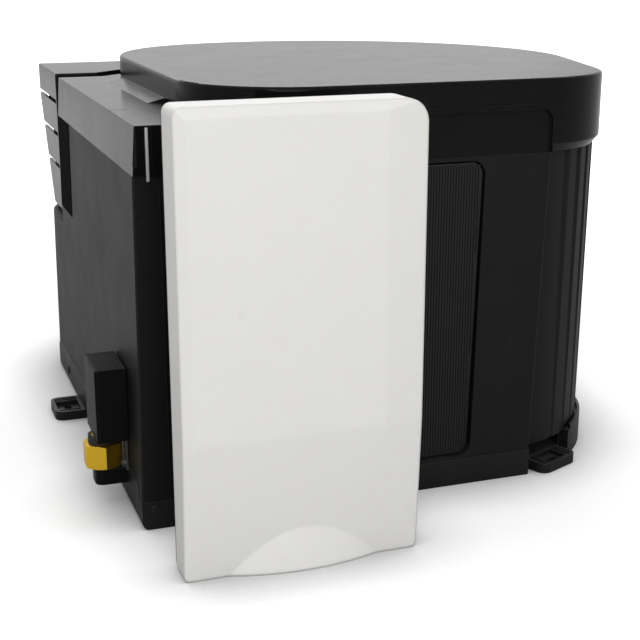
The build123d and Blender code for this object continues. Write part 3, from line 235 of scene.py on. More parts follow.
dustGroup.links.new(smudgeField, dustOut.inputs["Smudge"])

# Faint scratches, stretched along one direction

scratchGroup, scratchIn, scratchOut = newGroup(
    "Scratches",
    [
        ("Scale", "NodeSocketFloat", 60.0),
        ("Stretch", "NodeSocketFloat", 18.0),
        ("Threshold", "NodeSocketFloat", 0.68),
    ],
    [("Mask", "NodeSocketFloat")],
)
scratchPlace = scratchGroup.nodes.new("ShaderNodeTexCoord").outputs["Object"]
scratchMap = scratchGroup.nodes.new("ShaderNodeMapping")
scratchGroup.links.new(scratchPlace, scratchMap.inputs["Vector"])
scratchScale = scratchGroup.nodes.new("ShaderNodeCombineXYZ")
scratchScale.inputs[0].default_value = 1.0
scratchScale.inputs[2].default_value = 1.0
scratchGroup.links.new(scratchIn.outputs["Stretch"], scratchScale.inputs[1])
scratchGroup.links.new(scratchScale.outputs[0], scratchMap.inputs["Scale"])
scratchNoise = noiseNode(scratchGroup, scratchMap.outputs[0], scratchIn.outputs["Scale"], 2.0, 0.5)
scratchStep = mathNode(scratchGroup, "SUBTRACT", scratchNoise, scratchIn.outputs["Threshold"])
scratchMask = mathNode(scratchGroup, "MULTIPLY", scratchStep, 6.0, clamp=True)
scratchGroup.links.new(scratchMask, scratchOut.inputs["Mask"])

# Edges partly rubbed and partly lit by a painted highlight: a mask where the rounded normal leaves the true one, broken
# up by noise

wearSheenGroup, wearSheenIn, wearSheenOut = newGroup(
    "RubbedEdgesAndSheen",
    [("Radius", "NodeSocketFloat", 0.0008), ("Amount", "NodeSocketFloat", 0.5)],
    [("Mask", "NodeSocketFloat"), ("Normal", "NodeSocketVector")],
)
wearSheenBevel = wearSheenGroup.nodes.new("ShaderNodeBevel")
wearSheenBevel.samples = 4
wearSheenGroup.links.new(wearSheenIn.outputs["Radius"], wearSheenBevel.inputs["Radius"])
wearSheenTrue = wearSheenGroup.nodes.new("ShaderNodeNewGeometry").outputs["Normal"]
wearSheenDot = wearSheenGroup.nodes.new("ShaderNodeVectorMath")
wearSheenDot.operation = "DOT_PRODUCT"
wearSheenGroup.links.new(wearSheenBevel.outputs["Normal"], wearSheenDot.inputs[0])
wearSheenGroup.links.new(wearSheenTrue, wearSheenDot.inputs[1])
wearSheenTurn = mathNode(wearSheenGroup, "SUBTRACT", 1.0, wearSheenDot.outputs["Value"])
wearSheenPlace = wearSheenGroup.nodes.new("ShaderNodeTexCoord").outputs["Object"]
wearSheenPatch = noiseNode(wearSheenGroup, wearSheenPlace, 55.0, 5.0, 0.6)
wearSheenField = mathNode(wearSheenGroup, "MULTIPLY", mathNode(wearSheenGroup, "MULTIPLY", wearSheenTurn, wearSheenPatch), 5.0)
wearSheenMask = mathNode(wearSheenGroup, "MULTIPLY", wearSheenField, wearSheenIn.outputs["Amount"], clamp=True)
wearSheenGroup.links.new(wearSheenMask, wearSheenOut.inputs["Mask"])
wearSheenGroup.links.new(wearSheenBevel.outputs["Normal"], wearSheenOut.inputs["Normal"])


def makeMaterial(name, look):
    material = bpy.data.materials.new(name)
    material.use_nodes = True
    tree = material.node_tree
    shader = tree.nodes["Principled BSDF"]
    shader.inputs["Metallic"].default_value = look.get("metal", 0.0)
    shader.inputs["Specular IOR Level"].default_value = look.get("specular", 0.5)
    shader.inputs["Coat Weight"].default_value = look.get("coat", 0.0)
    shader.inputs["Coat Roughness"].default_value = 0.1
    shader.inputs["Subsurface Weight"].default_value = look.get("subsurface", 0.0)
    shader.inputs["Subsurface Scale"].default_value = 0.002
    grain = tree.nodes.new("ShaderNodeGroup")
    grain.node_tree = grainGroup
    grain.inputs["Scale"].default_value = look.get("grainScale", 900.0)
    grain.inputs["Wave"].default_value = look.get("waveScale", 12.0)
    grain.inputs["Wave share"].default_value = look.get("waveShare", 0.5)
    dust = tree.nodes.new("ShaderNodeGroup")
    dust.node_tree = dustGroup
    dust.inputs["Amount"].default_value = look.get("dust", 0.3)
    scratch = tree.nodes.new("ShaderNodeGroup")
    scratch.node_tree = scratchGroup
    scratch.inputs["Scale"].default_value = look.get("scratchScale", 60.0)
    scratch.inputs["Stretch"].default_value = look.get("scratchStretch", 18.0)
    scratch.inputs["Threshold"].default_value = look.get("scratchThreshold", 0.68)
    colour = mixColour(tree, dust.outputs["Smudge"], (*look["colour"], 1), (*look["second"], 1))
    colour = mixColour(tree, scratch.outputs["Mask"], colour, (*look.get("scratchColour", look["second"]), 1))
    wearSheen = tree.nodes.new("ShaderNodeGroup")
    wearSheen.node_tree = wearSheenGroup
    wearSheen.inputs["Radius"].default_value = look.get("edge", 0.7) * mm
    wearSheen.inputs["Amount"].default_value = look.get("wearSheen", 0.5)
    # Edges take a lighter colour: rubbed wear, and on the black plastics also a painted highlight
    colour = mixColour(tree, wearSheen.outputs["Mask"], colour, (*look.get("wearSheenColour", look["second"]), 1))
    colour = mixColour(tree, dust.outputs["Dust"], colour, (*look.get("dustColour", (0.45, 0.44, 0.42)), 1))
    tree.links.new(colour, shader.inputs["Base Color"])
    spread = mathNode(tree, "SUBTRACT", dust.outputs["Smudge"], 0.5)
    rough = mathNode(tree, "MULTIPLY_ADD", spread, look.get("roughSpread", 0.25))
    rough.node.inputs[2].default_value = look["rough"]
    scratchRough = mathNode(tree, "MULTIPLY", scratch.outputs["Mask"], 0.12)
    rough = mathNode(tree, "ADD", rough, scratchRough, clamp=True)
    tree.links.new(rough, shader.inputs["Roughness"])
    bump = tree.nodes.new("ShaderNodeBump")
    bump.inputs["Strength"].default_value = look.get("bump", 0.12)
    bump.inputs["Distance"].default_value = look.get("bumpDepth", 0.25) * mm
    tree.links.new(grain.outputs["Height"], bump.inputs["Height"])
    tree.links.new(wearSheen.outputs["Normal"], bump.inputs["Normal"])
    tree.links.new(bump.outputs["Normal"], shader.inputs["Normal"])
    return material


# Edge colour of the black plastics: rubbed wear and a painted edge highlight
blackWearSheen = (0.045, 0.045, 0.047)
looks = {
    "blackShell": {
        "colour": (0.0028, 0.0028, 0.003), "second": (0.005, 0.005, 0.0055), "rough": 0.2,
        "roughSpread": 0.12, "specular": 0.08, "bump": 0.08, "waveScale": 7.0, "waveShare": 5.0,
        "dust": 0.16, "edge": 0.9,
        "scratchColour": (0.015, 0.015, 0.016), "scratchThreshold": 0.7, "wearSheenColour": blackWearSheen, "wearSheen": 0.6,
    },
    "blackCasing": {
        "colour": (0.0035, 0.0035, 0.0037), "second": (0.006, 0.006, 0.0065), "rough": 0.5,
        "roughSpread": 0.16, "specular": 0.13, "bump": 0.16, "grainScale": 700.0, "waveScale": 5.0,
        "waveShare": 4.0, "dust": 0.2,
        "edge": 0.8, "scratchColour": (0.014, 0.014, 0.015), "scratchThreshold": 0.7, "wearSheenColour": blackWearSheen,
    },
    "blackTray": {
        "colour": (0.004, 0.004, 0.0043), "second": (0.007, 0.007, 0.0075), "rough": 0.46, "specular": 0.18,
        "bump": 0.2, "grainScale": 700.0, "dust": 0.35, "edge": 0.7, "wearSheenColour": blackWearSheen, "wearSheen": 0.8,
    },
    "blackRibs": {
        "colour": (0.0035, 0.0035, 0.0037), "second": (0.0055, 0.0055, 0.006), "rough": 0.42,
        "specular": 0.25, "bump": 0.2, "grainScale": 1100.0, "dust": 0.3, "edge": 0.25,
        "wearSheenColour": blackWearSheen, "wearSheen": 0.4,
    },
    "blackTrim": {
        "colour": (0.0022, 0.0022, 0.0024), "second": (0.004, 0.004, 0.0043), "rough": 0.4, "specular": 0.05,
        "bump": 0.15, "dust": 0.18, "edge": 0.6, "wearSheenColour": blackWearSheen, "wearSheen": 0.6,
    },
    "blackSteel": {
        "colour": (0.02, 0.02, 0.021), "second": (0.035, 0.034, 0.033), "rough": 0.34, "specular": 0.5,
        "bump": 0.1, "dust": 0.2, "edge": 0.3, "wearSheenColour": (0.25, 0.24, 0.23), "wearSheen": 0.8,
        "scratchScale": 200.0,
    },
    "whiteCover": {
        "colour": (0.78, 0.775, 0.755), "second": (0.75, 0.742, 0.72), "rough": 0.46, "roughSpread": 0.12,
        "specular": 0.4, "bump": 0.1, "grainScale": 1300.0, "waveShare": 1.5, "subsurface": 0.12, "edge": 2.8,
        "dust": 0.12, "dustColour": (0.5, 0.48, 0.44), "scratchColour": (0.68, 0.67, 0.64),
        "scratchThreshold": 0.74,
        "wearSheenColour": (0.8, 0.79, 0.76), "wearSheen": 0.3,
    },
    # A pale plastic that paints the highlight on the skirt's front corner
    "paintedHighlightStrip": {
        "colour": (0.42, 0.42, 0.43), "second": (0.36, 0.36, 0.37), "rough": 0.35, "specular": 0.5,
        "bump": 0.08, "dust": 0.15, "edge": 0.5, "scratchColour": (0.5, 0.5, 0.51),
    },
    # Near-black that paints the shade in the pocket's mouth, the shoulder's slit and the service cover's slots
    "paintedShadeBlack": {
        "colour": (0.0015, 0.0015, 0.0016), "second": (0.003, 0.003, 0.003), "rough": 0.9, "specular": 0.02,
        "bump": 0.3, "grainScale": 500.0, "dust": 0.05, "edge": 0.3,
    },
    "brass": {
        "colour": (0.78, 0.5, 0.035), "second": (0.62, 0.38, 0.028), "metal": 1.0, "rough": 0.38, "bump": 0.1,
        "dust": 0.15, "edge": 0.5, "scratchScale": 240.0, "scratchColour": (0.7, 0.5, 0.16),
        "wearSheenColour": (0.75, 0.55, 0.18),
    },
    "steel": {
        "colour": (0.6, 0.6, 0.61), "second": (0.5, 0.5, 0.52), "metal": 1.0, "rough": 0.3, "bump": 0.1,
        "dust": 0.2, "edge": 0.3, "scratchScale": 260.0,
    },
    "stainless": {
        "colour": (0.56, 0.56, 0.57), "second": (0.48, 0.48, 0.5), "metal": 1.0, "rough": 0.36, "bump": 0.12,
        "waveScale": 9.0, "waveShare": 1.5, "dust": 0.2, "edge": 0.4, "scratchStretch": 40.0,
        "scratchScale": 130.0,
    },
    "copper": {
        "colour": (0.72, 0.33, 0.19), "second": (0.5, 0.22, 0.13), "metal": 1.0, "rough": 0.32, "bump": 0.1,
        "dust": 0.15, "edge": 0.2,
    },
    "castAluminium": {
        "colour": (0.55, 0.56, 0.57), "second": (0.44, 0.45, 0.46), "metal": 1.0, "rough": 0.5, "bump": 0.5,
        "grainScale": 420.0, "dust": 0.3, "edge": 0.8,
    },
    "foam": {
        "colour": (0.03, 0.03, 0.032), "second": (0.05, 0.05, 0.052), "rough": 0.9, "specular": 0.2,
        "bump": 0.8, "bumpDepth": 0.8, "grainScale": 260.0, "dust": 0.5, "edge": 2.0,
    },
    "rubber": {
        "colour": (0.012, 0.012, 0.012), "second": (0.02, 0.02, 0.02), "rough": 0.72, "specular": 0.3,
        "bump": 0.3, "dust": 0.5, "edge": 0.4,
    },
    "ceramic": {
        "colour": (0.78, 0.75, 0.68), "second": (0.7, 0.66, 0.58), "rough": 0.2, "coat": 0.5, "bump": 0.08,
        "dust": 0.1, "edge": 0.3,
    },
    "board": {
        "colour": (0.02, 0.12, 0.045), "second": (0.03, 0.16, 0.06), "rough": 0.35, "coat": 0.3, "bump": 0.3,
        "grainScale": 300.0, "edge": 0.2,
    },
    "coil": {
        "colour": (0.05, 0.025, 0.015), "second": (0.08, 0.035, 0.02), "rough": 0.5, "bump": 0.5,
        "grainScale": 500.0, "edge": 0.4,
    },
}
materials = {name: makeMaterial(name, look) for name, look in looks.items()}

nodeLooks = {
    "whiteCover": ["cowl_cover"],
    "blackRibs": ["ribbed_front_panel"],
    "blackShell": ["upper_shell", "service_cover"],
    "blackTray": ["base_tray", "foot_front_right", "foot_rear_right", "foot_left", "foot_rear", "cowl_frame"],
    "blackTrim": ["connection_box", "connection_box_cover", "pipe_bracket", "cowl_baffle", "control_housing"],
    "brass": [
        "gas_union_nut", "gas_inlet_nipple", "cutting_ring", "cold_union_nut", "hot_union_nut",
        "gas_injector",
    ],
    "steel": [
        "gas_valve_plunger", "gas_valve_spring", "burner_tube", "temperature_sensor", "burner_housing",
    ],
    "blackSteel": ["gas_bracket", "tray_screws"],
    "stainless": ["water_tank", "cold_water_pipe", "hot_water_pipe", "exhaust_duct", "intake_duct"],
    "copper": ["gas_pipe", "burner_gas_pipe"],
    "castAluminium": ["heat_exchanger", "gas_valve"],
    "foam": ["tank_insulation_lower", "tank_insulation_upper"],
    "rubber": ["burner_gasket", "duct_seals", "cowl_seal", "gas_seal_collar"],
    "ceramic": ["ignition_electrode", "flame_electrode", "overheat_switch"],
    "board": ["control_board"],
    "coil": ["gas_valve_coil"],
}
lookOf = {node: look for look, members in nodeLooks.items() for node in members}
for name, node in nodes.items():
    material = materials[lookOf.get(name, "blackCasing")]
    node.data.materials.clear()
    node.data.materials.append(material)
print("stage: materials set")


# Detail pieces: each is shaped from primitives, rests at the origin and rides on its body

def settle(piece, name, look, body):
    bpy.ops.object.select_all(action="DESELECT")
    piece.select_set(True)
    bpy.context.view_layer.objects.active = piece
    bpy.ops.object.convert(target="MESH")
    bpy.ops.object.transform_apply(location=True, rotation=True, scale=True)
    bpy.ops.object.shade_smooth_by_angle(angle=math.radians(32))
    piece = bpy.context.object
    piece.name = name
    piece.data.name = name
    piece.data.materials.clear()
    piece.data.materials.append(materials[look])
    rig.ride(piece, body)
    return piece


def soften(piece, width):
    bevel = piece.modifiers.new("softEdge", "BEVEL")
    bevel.width = width * mm
    bevel.segments = 2
    bevel.limit_method = "ANGLE"


def joinAll(pieces):
    bpy.ops.object.select_all(action="DESELECT")
    for piece in pieces:
        piece.select_set(True)
        bpy.context.view_layer.objects.active = piece
        bpy.ops.object.convert(target="MESH")
    bpy.context.view_layer.objects.active = pieces[0]
    bpy.ops.object.join()
    return bpy.context.object


turns = {"x": (0, math.radians(90), 0), "y": (math.radians(90), 0, 0), "z": (0, 0, 0)}


def rod(spot, radius, length, axis, sides=32, edge=0.0):
    bpy.ops.mesh.primitive_cylinder_add(
        vertices=sides, radius=radius * mm, depth=length * mm, location=place(*spot), rotation=turns[axis]
    )
    piece = bpy.context.object
    if edge:
        soften(piece, edge)
    return piece


def slab(low, high, edge=0.0):
    lowSpot, highSpot = place(*low), place(*high)
    bpy.ops.mesh.primitive_cube_add(size=1, location=(lowSpot + highSpot) / 2)
    piece = bpy.context.object
    piece.scale = highSpot - lowSpot
    bpy.ops.object.transform_apply(location=False, rotation=False, scale=True)
    if edge:
        soften(piece, edge)
    return piece


def hoop(spot, radius, thickness, axis, segments=48, sides=12):
    bpy.ops.mesh.primitive_torus_add(
        location=place(*spot), rotation=turns[axis], major_radius=radius * mm, minor_radius=thickness * mm,
        major_segments=segments, minor_segments=sides,
    )
    return bpy.context.object


def cut(piece, tools):
    for tool in tools:
        carve = piece.modifiers.new("carve", "BOOLEAN")
        carve.operation = "DIFFERENCE"
        carve.solver = "EXACT"
        carve.object = tool
    bpy.ops.object.select_all(action="DESELECT")
    piece.select_set(True)
    bpy.context.view_layer.objects.active = piece
    bpy.ops.object.convert(target="MESH")
    bpy.ops.object.select_all(action="DESELECT")
    for tool in tools:
        tool.select_set(True)
    bpy.ops.object.delete()
    return piece


def screwHead(spot, axis, outward, look):
    run, depth, height = spot
    reach = look["height"]
    centre = [run, depth, height]
    index = "xyz".index(axis)
    centre[index] += outward * reach / 2
    head = rod(centre, look["radius"], reach, axis, 32, look["edge"])
    blades = []
    for across in [side for side in range(3) if side != index]:
        half = [look["blade"] / 2] * 3
        half[across] = look["cross"] / 2
        half[index] = look["sink"]
        top = list(centre)
        top[index] += outward * reach / 2
        blades.append(slab([c - h for c, h in zip(top, half)], [c + h for c, h in zip(top, half)]))
    return cut(head, blades)


# Screws with cross recesses, in the tray and in the gas bracket
trayScrewLook = {
    "radius": 3.4, "height": 1.2, "edge": 0.5, "blade": 0.9, "cross": 4.0, "sink": 0.8,
    "shank": 1.9, "shankLength": 8,
    "spots": [((9, 0, 14), "y"), ((120, 0, 14), "y"), ((0, 150, 14), "x"), ((0, 320, 14), "x")],
}
heads = [screwHead(spot, axis, -1, trayScrewLook) for spot, axis in trayScrewLook["spots"]]
shanks = []
shankLength = trayScrewLook["shankLength"]
for spot, axis in trayScrewLook["spots"]:
    middle = [value + shankLength / 2 * (axis == letter) for value, letter in zip(spot, "xyz")]
    shanks.append(rod(middle, trayScrewLook["shank"], shankLength, axis))
trayScrews = settle(joinAll(heads + shanks), "tray_screw_heads", "blackTray", "case")
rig.replaces(trayScrews, "tray_screws")
bracketScrewLook = {
    "radius": 2.8, "height": 0.8, "edge": 0.3, "blade": 0.8, "cross": 3.2, "sink": 0.6,
    "spot": (-3.2, 47, 32),
}
bracketScrew = screwHead(bracketScrewLook["spot"], "x", -1, bracketScrewLook)
settle(bracketScrew, "bracket_screw_head", "blackSteel", "case")
print("stage: screws made")

# The casing's left side: a pale strip as a painted highlight on the skirt's front corner, a thin rib below it,
# and near-black sheets as painted shade in the mouth of the service cover's pocket and in the shoulder's slit
edgeLook = {
    "strip": ((11.6, -1.1, 239.5), (13.6, 1.2, 273.8)), "stripEdge": 0.6,
    "ribSpot": (20.4, 1.7, 131), "ribRadius": 0.8, "ribLength": 214, "ribLean": 0.0103, "ribSides": 16,
    "pocketShade": ((2.1, 262.5, 166), (3.5, 317.6, 242.6)), "pocketShadeTilt": 0.01256,
    "slit": ((5.3, 83.5, 273.9), (16.8, 84.5, 274.85)),
}
# The pale strip, a painted highlight
settle(slab(*edgeLook["strip"], edgeLook["stripEdge"]), "skirt_painted_highlight_strip", "paintedHighlightStrip", "case")
pillarRib = rod(edgeLook["ribSpot"], edgeLook["ribRadius"], edgeLook["ribLength"], "z", edgeLook["ribSides"])
pillarRib.rotation_euler = (-edgeLook["ribLean"], 0, 0)
settle(pillarRib, "pillar_rib", "blackShell", "case")
# A near-black sheet that paints the shade in the mouth of the service cover's pocket
pocketShade = slab(*edgeLook["pocketShade"])
pocketShade.rotation_euler = (0, edgeLook["pocketShadeTilt"], 0)
settle(pocketShade, "pocket_painted_shade", "paintedShadeBlack", "case")
# A near-black sheet that paints the shade in the shoulder's slit
settle(slab(*edgeLook["slit"]), "shoulder_slit_painted_shade", "paintedShadeBlack", "case")

# Service cover: a plate with a tapered left leg that has three long slots, and a short rear lip
capLook = {
    "low": (7, 352, 153), "high": (88, 461, 275), "edge": 1.4, "wall": 2.8, "lipBottom": 250, "overrun": 12,
    "slotStart": 356, "slotHeights": (250.2, 221.4, 192.6), "slotHalf": 1.8,
    "slotOverrun": 3, "mouthOverrun": 9,  # how far a slot's cutter stands out of the leg
    "taper": ((399, 153), (461, 250)), "taperSize": 200, "taperMiddle": 9, "taperThick": 14,
    "corner": ((43, 352), (88, 392)), "cornerSize": 100, "cornerMiddle": 215,
    "lean": 0.639, "openRun": 46,  # how the leg's rear edge leans, and the open stretch of a slot
    "slotShadeHalf": 0.6, "slotShadeRise": 3, "slotShadeStart": 354,
}
capLow, capHigh, capWall = capLook["low"], capLook["high"], capLook["wall"]
capBody = slab(capLow, capHigh, capLook["edge"])
past = capLook["overrun"]
innerRun = capLow[0] + capWall
capTools = [
    slab(
        (innerRun, capLow[1] - past, capLow[2] - past),
        (capHigh[0] + past, capHigh[1] - capWall, capHigh[2] - capWall),
    ),
    slab(
        (innerRun, capHigh[1] - past, capLow[2] - past),
        (capHigh[0] + past, capHigh[1] + past, capLook["lipBottom"]),
    ),
]
slotRuns = capLow[0] - capLook["slotOverrun"], innerRun + capLook["slotOverrun"]
slotDepths = capLook["slotStart"], capHigh[1] + capLook["mouthOverrun"]
for height in capLook["slotHeights"]:
    capTools.append(slab(
        (slotRuns[0], slotDepths[0], height - capLook["slotHalf"]),
        (slotRuns[1], slotDepths[1], height + capLook["slotHalf"]),
    ))


# A block that lies on the right of the line from start to end, as wide as its size
def slantTool(start, end, size, axis, spot):
    along = Vector((end[0] - start[0], end[1] - start[1])).normalized()
    middle = Vector(((start[0] + end[0]) / 2, (start[1] + end[1]) / 2))
    middle += Vector((along.y, -along.x)) * size / 2
    turn = math.atan2(along.y, along.x)
    if axis == "x":
        centre, rotation, scale = place(spot, *middle), (turn, 0, 0), (capLook["taperThick"], size, size)
    else:
        centre, rotation, scale = place(*middle, spot), (0, 0, turn), (size, size, size * 2)
    bpy.ops.mesh.primitive_cube_add(size=1, location=centre, rotation=rotation)
    tool = bpy.context.object
    tool.scale = Vector(scale) * mm
    return tool


capTools.append(slantTool(*capLook["taper"], capLook["taperSize"], "x", capLook["taperMiddle"]))
capTools.append(slantTool(*capLook["corner"], capLook["cornerSize"], "z", capLook["cornerMiddle"]))
cap = settle(cut(capBody, capTools), "service_cover_cap", "blackShell", "service_lid")
bpy.ops.object.shade_flat()  # the plate's large faces stay even beside their narrow bevels
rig.replaces(cap, "service_cover")
# Near-black sheets inside the leg that paint the shade in the slots, leaving an open stretch at each mouth
slotShades = []
for height in capLook["slotHeights"]:
    mouth = capHigh[1] - max(0, capLook["lipBottom"] - height) * capLook["lean"]
    slotShades.append(slab(
        (innerRun - capLook["slotShadeHalf"], capLook["slotShadeStart"], height - capLook["slotShadeRise"]),
        (innerRun + capLook["slotShadeHalf"], mouth - capLook["openRun"], height + capLook["slotShadeRise"]),
    ))
settle(joinAll(slotShades), "service_cover_slot_painted_shade", "paintedShadeBlack", "service_lid")
print("stage: service cover made")

# Stiffening ribs in the recess of each foot, laid along the foot's own direction
footLook = {
    "thick": 1.6, "low": 3.0, "high": 6.9, "rim": 2.8, "edge": 0.4, "sideShares": (0.29, 0.4),
    "feet": {  # where each foot leaves the tray, its direction in degrees, its length and its width
        "foot_front_right": ((314.86, 22.47), -66, 22, 40), "foot_rear_right": ((314.72, 363.83), 55, 31, 42),
        "foot_left": ((0, 249), 180, 25, 38), "foot_rear": ((115, 461), 90, 25, 38),
    },
}
for foot, (spot, angle, length, width) in footLook["feet"].items():
    outward = Vector((math.cos(math.radians(angle)), math.sin(math.radians(angle)), 0))
    sideways = Vector((-outward.y, outward.x, 0))
    ribs = []
    for share in footLook["sideShares"]:
        for side in (-1, 1):
            middle = place(*spot, (footLook["low"] + footLook["high"]) / 2)
            middle += (outward * length / 2 + sideways * side * share * width) * mm
            bpy.ops.mesh.primitive_cube_add(size=1, location=middle, rotation=(0, 0, math.radians(angle)))
            rib = bpy.context.object
            ribHeight = footLook["high"] - footLook["low"]
            rib.scale = Vector((length - 2 * footLook["rim"], footLook["thick"], ribHeight)) * mm
            bpy.ops.object.transform_apply(location=False, rotation=False, scale=True)
            soften(rib, footLook["edge"])
            ribs.append(rib)
    settle(joinAll(ribs), foot + "_ribs", "blackTray", "case")
print("stage: edge pieces and feet made")

# Heat exchanger flange: hexagon bolts with washers, and two cast ribs beside the flue
flangeLook = {
    "face": 40, "boltRuns": (77, 133), "boltHeights": (134, 218),
    "bolt": 4.2, "boltHeight": 3.2, "boltEdge": 0.4, "washer": 5.6, "washerHeight": 0.8, "washerEdge": 0.2,
    "ribRuns": (73.5, 136.5), "ribHeights": (145, 207),
    "ribDeep": 4.0, "ribSink": 0.4, "ribThick": 2.5, "ribEdge": 0.8,
}
washerHeight, boltHeight = flangeLook["washerHeight"], flangeLook["boltHeight"]
washerDepth = flangeLook["face"] - washerHeight / 2
boltDepth = flangeLook["face"] - washerHeight - boltHeight / 2
flangeParts = []
for height in flangeLook["boltHeights"]:
    for run in flangeLook["boltRuns"]:
        washerSize = flangeLook["washer"], washerHeight, "y", 32, flangeLook["washerEdge"]
        flangeParts.append(rod((run, washerDepth, height), *washerSize))
        boltSize = flangeLook["bolt"], boltHeight, "y", 6, flangeLook["boltEdge"]
        flangeParts.append(rod((run, boltDepth, height), *boltSize))
settle(joinAll(flangeParts), "flange_bolts", "steel", "case")
castRibs = []
half = flangeLook["ribThick"] / 2
ribNear, ribFar = flangeLook["face"] - flangeLook["ribDeep"], flangeLook["face"] + flangeLook["ribSink"]
ribLow, ribHigh = flangeLook["ribHeights"]
for run in flangeLook["ribRuns"]:
    castRibs.append(slab((run - half, ribNear, ribLow), (run + half, ribFar, ribHigh), flangeLook["ribEdge"]))
settle(joinAll(castRibs), "flange_cast_ribs", "castAluminium", "case")

# Burner housing: a folded seam round the middle and the lid's flat screws
burnerLook = {
    "runs": (67, 143), "heights": (54, 126), "seamDepths": (24, 25.6), "seamGrow": 1.3, "seamEdge": 0.4,
    "seamInset": 0.6, "seamOverrun": 2, "screwRuns": (71.5, 138.5), "screwHeights": (58.5, 121.5),
    "lidDepth": 12,
    "screw": {"radius": 2.6, "height": 0.8, "edge": 0.25, "blade": 0.7, "cross": 2.8, "sink": 0.5},
}
(lowRun, highRun), (lowEdge, highEdge) = burnerLook["runs"], burnerLook["heights"]
grow, inset = burnerLook["seamGrow"], burnerLook["seamInset"]
seamNear, seamFar = burnerLook["seamDepths"]
seam = slab(
    (lowRun - grow, seamNear, lowEdge - grow),
    (highRun + grow, seamFar, highEdge + grow),
    burnerLook["seamEdge"],
)
seamHole = slab(
    (lowRun + inset, seamNear - burnerLook["seamOverrun"], lowEdge + inset),
    (highRun - inset, seamFar + burnerLook["seamOverrun"], highEdge - inset),
)
settle(cut(seam, [seamHole]), "burner_seam", "steel", "case")
burnerScrews = [
    screwHead((run, burnerLook["lidDepth"], height), "y", -1, burnerLook["screw"])
    for run in burnerLook["screwRuns"] for height in burnerLook["screwHeights"]
]
settle(joinAll(burnerScrews), "burner_screws", "steel", "case")
print("stage: burner and flange made")

# Gas valve: cap screws, the coil's end plates, the plunger's spring, the coil's windings and two terminals
valveLook = {
    "axis": (20.5, 142.5), "top": 104, "screwRuns": (9.5, 31.5), "screwDepths": (124.5, 160.5),
    "capScrew": 2.4, "capHeight": 2.4, "capEdge": 0.4,
    "plate": 14.8, "plateHeight": 1.4, "plateEdge": 0.3, "plateHole": 6.3, "plateCut": 6,
    "plateHeights": (105.1, 133.6),
    "turns": 12, "wire": 0.9, "turnRadius": 13.7, "firstTurn": 107.4, "turnPitch": 2.16,
    "terminalRuns": (16.5, 23.5), "terminalThick": 0.9, "terminalDepths": (156, 164.5),
    "terminalHeights": (117, 123.5), "terminalEdge": 0.2,
}
capScrewSize = valveLook["capScrew"], valveLook["capHeight"], "z", 24, valveLook["capEdge"]
capScrewMiddle = valveLook["top"] + valveLook["capHeight"] / 2
capScrews = [
    rod((run, depth, capScrewMiddle), *capScrewSize)
    for run in valveLook["screwRuns"] for depth in valveLook["screwDepths"]
]
settle(joinAll(capScrews), "valve_cap_screws", "steel", "case")
coilPlates = []
for height in valveLook["plateHeights"]:
    spot = *valveLook["axis"], height
    plate = rod(spot, valveLook["plate"], valveLook["plateHeight"], "z", 48, valveLook["plateEdge"])
    coilPlates.append(cut(plate, [rod(spot, valveLook["plateHole"], valveLook["plateCut"], "z", 32)]))
settle(joinAll(coilPlates), "coil_end_plates", "blackTrim", "case")
springLook = {
    "low": 120.65, "reach": 3.6, "wire": 0.5, "pitch": 2.5, "turns": 5, "sides": 12, "steps": 32,
    "seat": 135, "kept": 0.595,  # it shortens towards its seat as the plunger lifts
}
bpy.ops.mesh.primitive_circle_add(
    vertices=springLook["sides"], radius=springLook["wire"] * mm, fill_type="NOTHING",
    location=(springLook["reach"] * mm, 0, 0), rotation=turns["y"],
)
spring = bpy.context.object
bpy.ops.object.transform_apply(location=True, rotation=True, scale=True)
coilUp = spring.modifiers.new("coilUp", "SCREW")
coilUp.angle = 2 * math.pi
coilUp.iterations = springLook["turns"]
coilUp.screw_offset = springLook["pitch"] * mm
coilUp.steps = coilUp.render_steps = springLook["steps"]
coilUp.use_merge_vertices = False
coilUp.use_normal_calculate = True
spring.location = place(*valveLook["axis"], springLook["low"])
spring = settle(spring, "plunger_spring", "steel", "case")
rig.replaces(spring, "gas_valve_spring")
springSeat = tuple(place(*valveLook["axis"], springLook["seat"]))
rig.squash(spring, "valve_lift", axis=(0, 0, 1), anchor=springSeat, keep=springLook["kept"])
windings = []
for turn in range(valveLook["turns"]):
    spot = *valveLook["axis"], valveLook["firstTurn"] + valveLook["turnPitch"] * turn
    windings.append(hoop(spot, valveLook["turnRadius"], valveLook["wire"], "z"))
settle(joinAll(windings), "coil_windings", "coil", "case")
terminals = []
for run in valveLook["terminalRuns"]:
    (near, far), (low, high) = valveLook["terminalDepths"], valveLook["terminalHeights"]
    terminals.append(slab(
        (run, near, low), (run + valveLook["terminalThick"], far, high), valveLook["terminalEdge"]
    ))
settle(joinAll(terminals), "coil_terminals", "steel", "case")

# Control unit: a lid with vents and screws, a plug socket, and the parts on its board
unitLook = {
    "lid": ((35.9, 215, 73), (37.1, 309, 187)), "lidEdge": 0.5, "vents": 8, "ventPitch": 6,
    "vent": ((35.0, 236, 118), (38.0, 288, 120.4)), "screwDepths": (219, 305), "screwHeights": (77, 183),
    "screw": {"radius": 2.6, "height": 0.9, "edge": 0.3, "blade": 0.7, "cross": 3.0, "sink": 0.6},
    "socket": ((11, 205.5, 118), (29, 212.2, 158)), "socketEdge": 0.8, "pins": 6, "pinPitch": 6,
    "pin": ((13.5, 203, 120.5), (26.5, 208.5, 124.5)),
}


# Cutters that repeat upwards from the first one
def rowOf(box, count, pitch):
    (run, depth, low), (farRun, farDepth, high) = box
    rises = [pitch * row for row in range(count)]
    return [slab((run, depth, low + rise), (farRun, farDepth, high + rise)) for rise in rises]


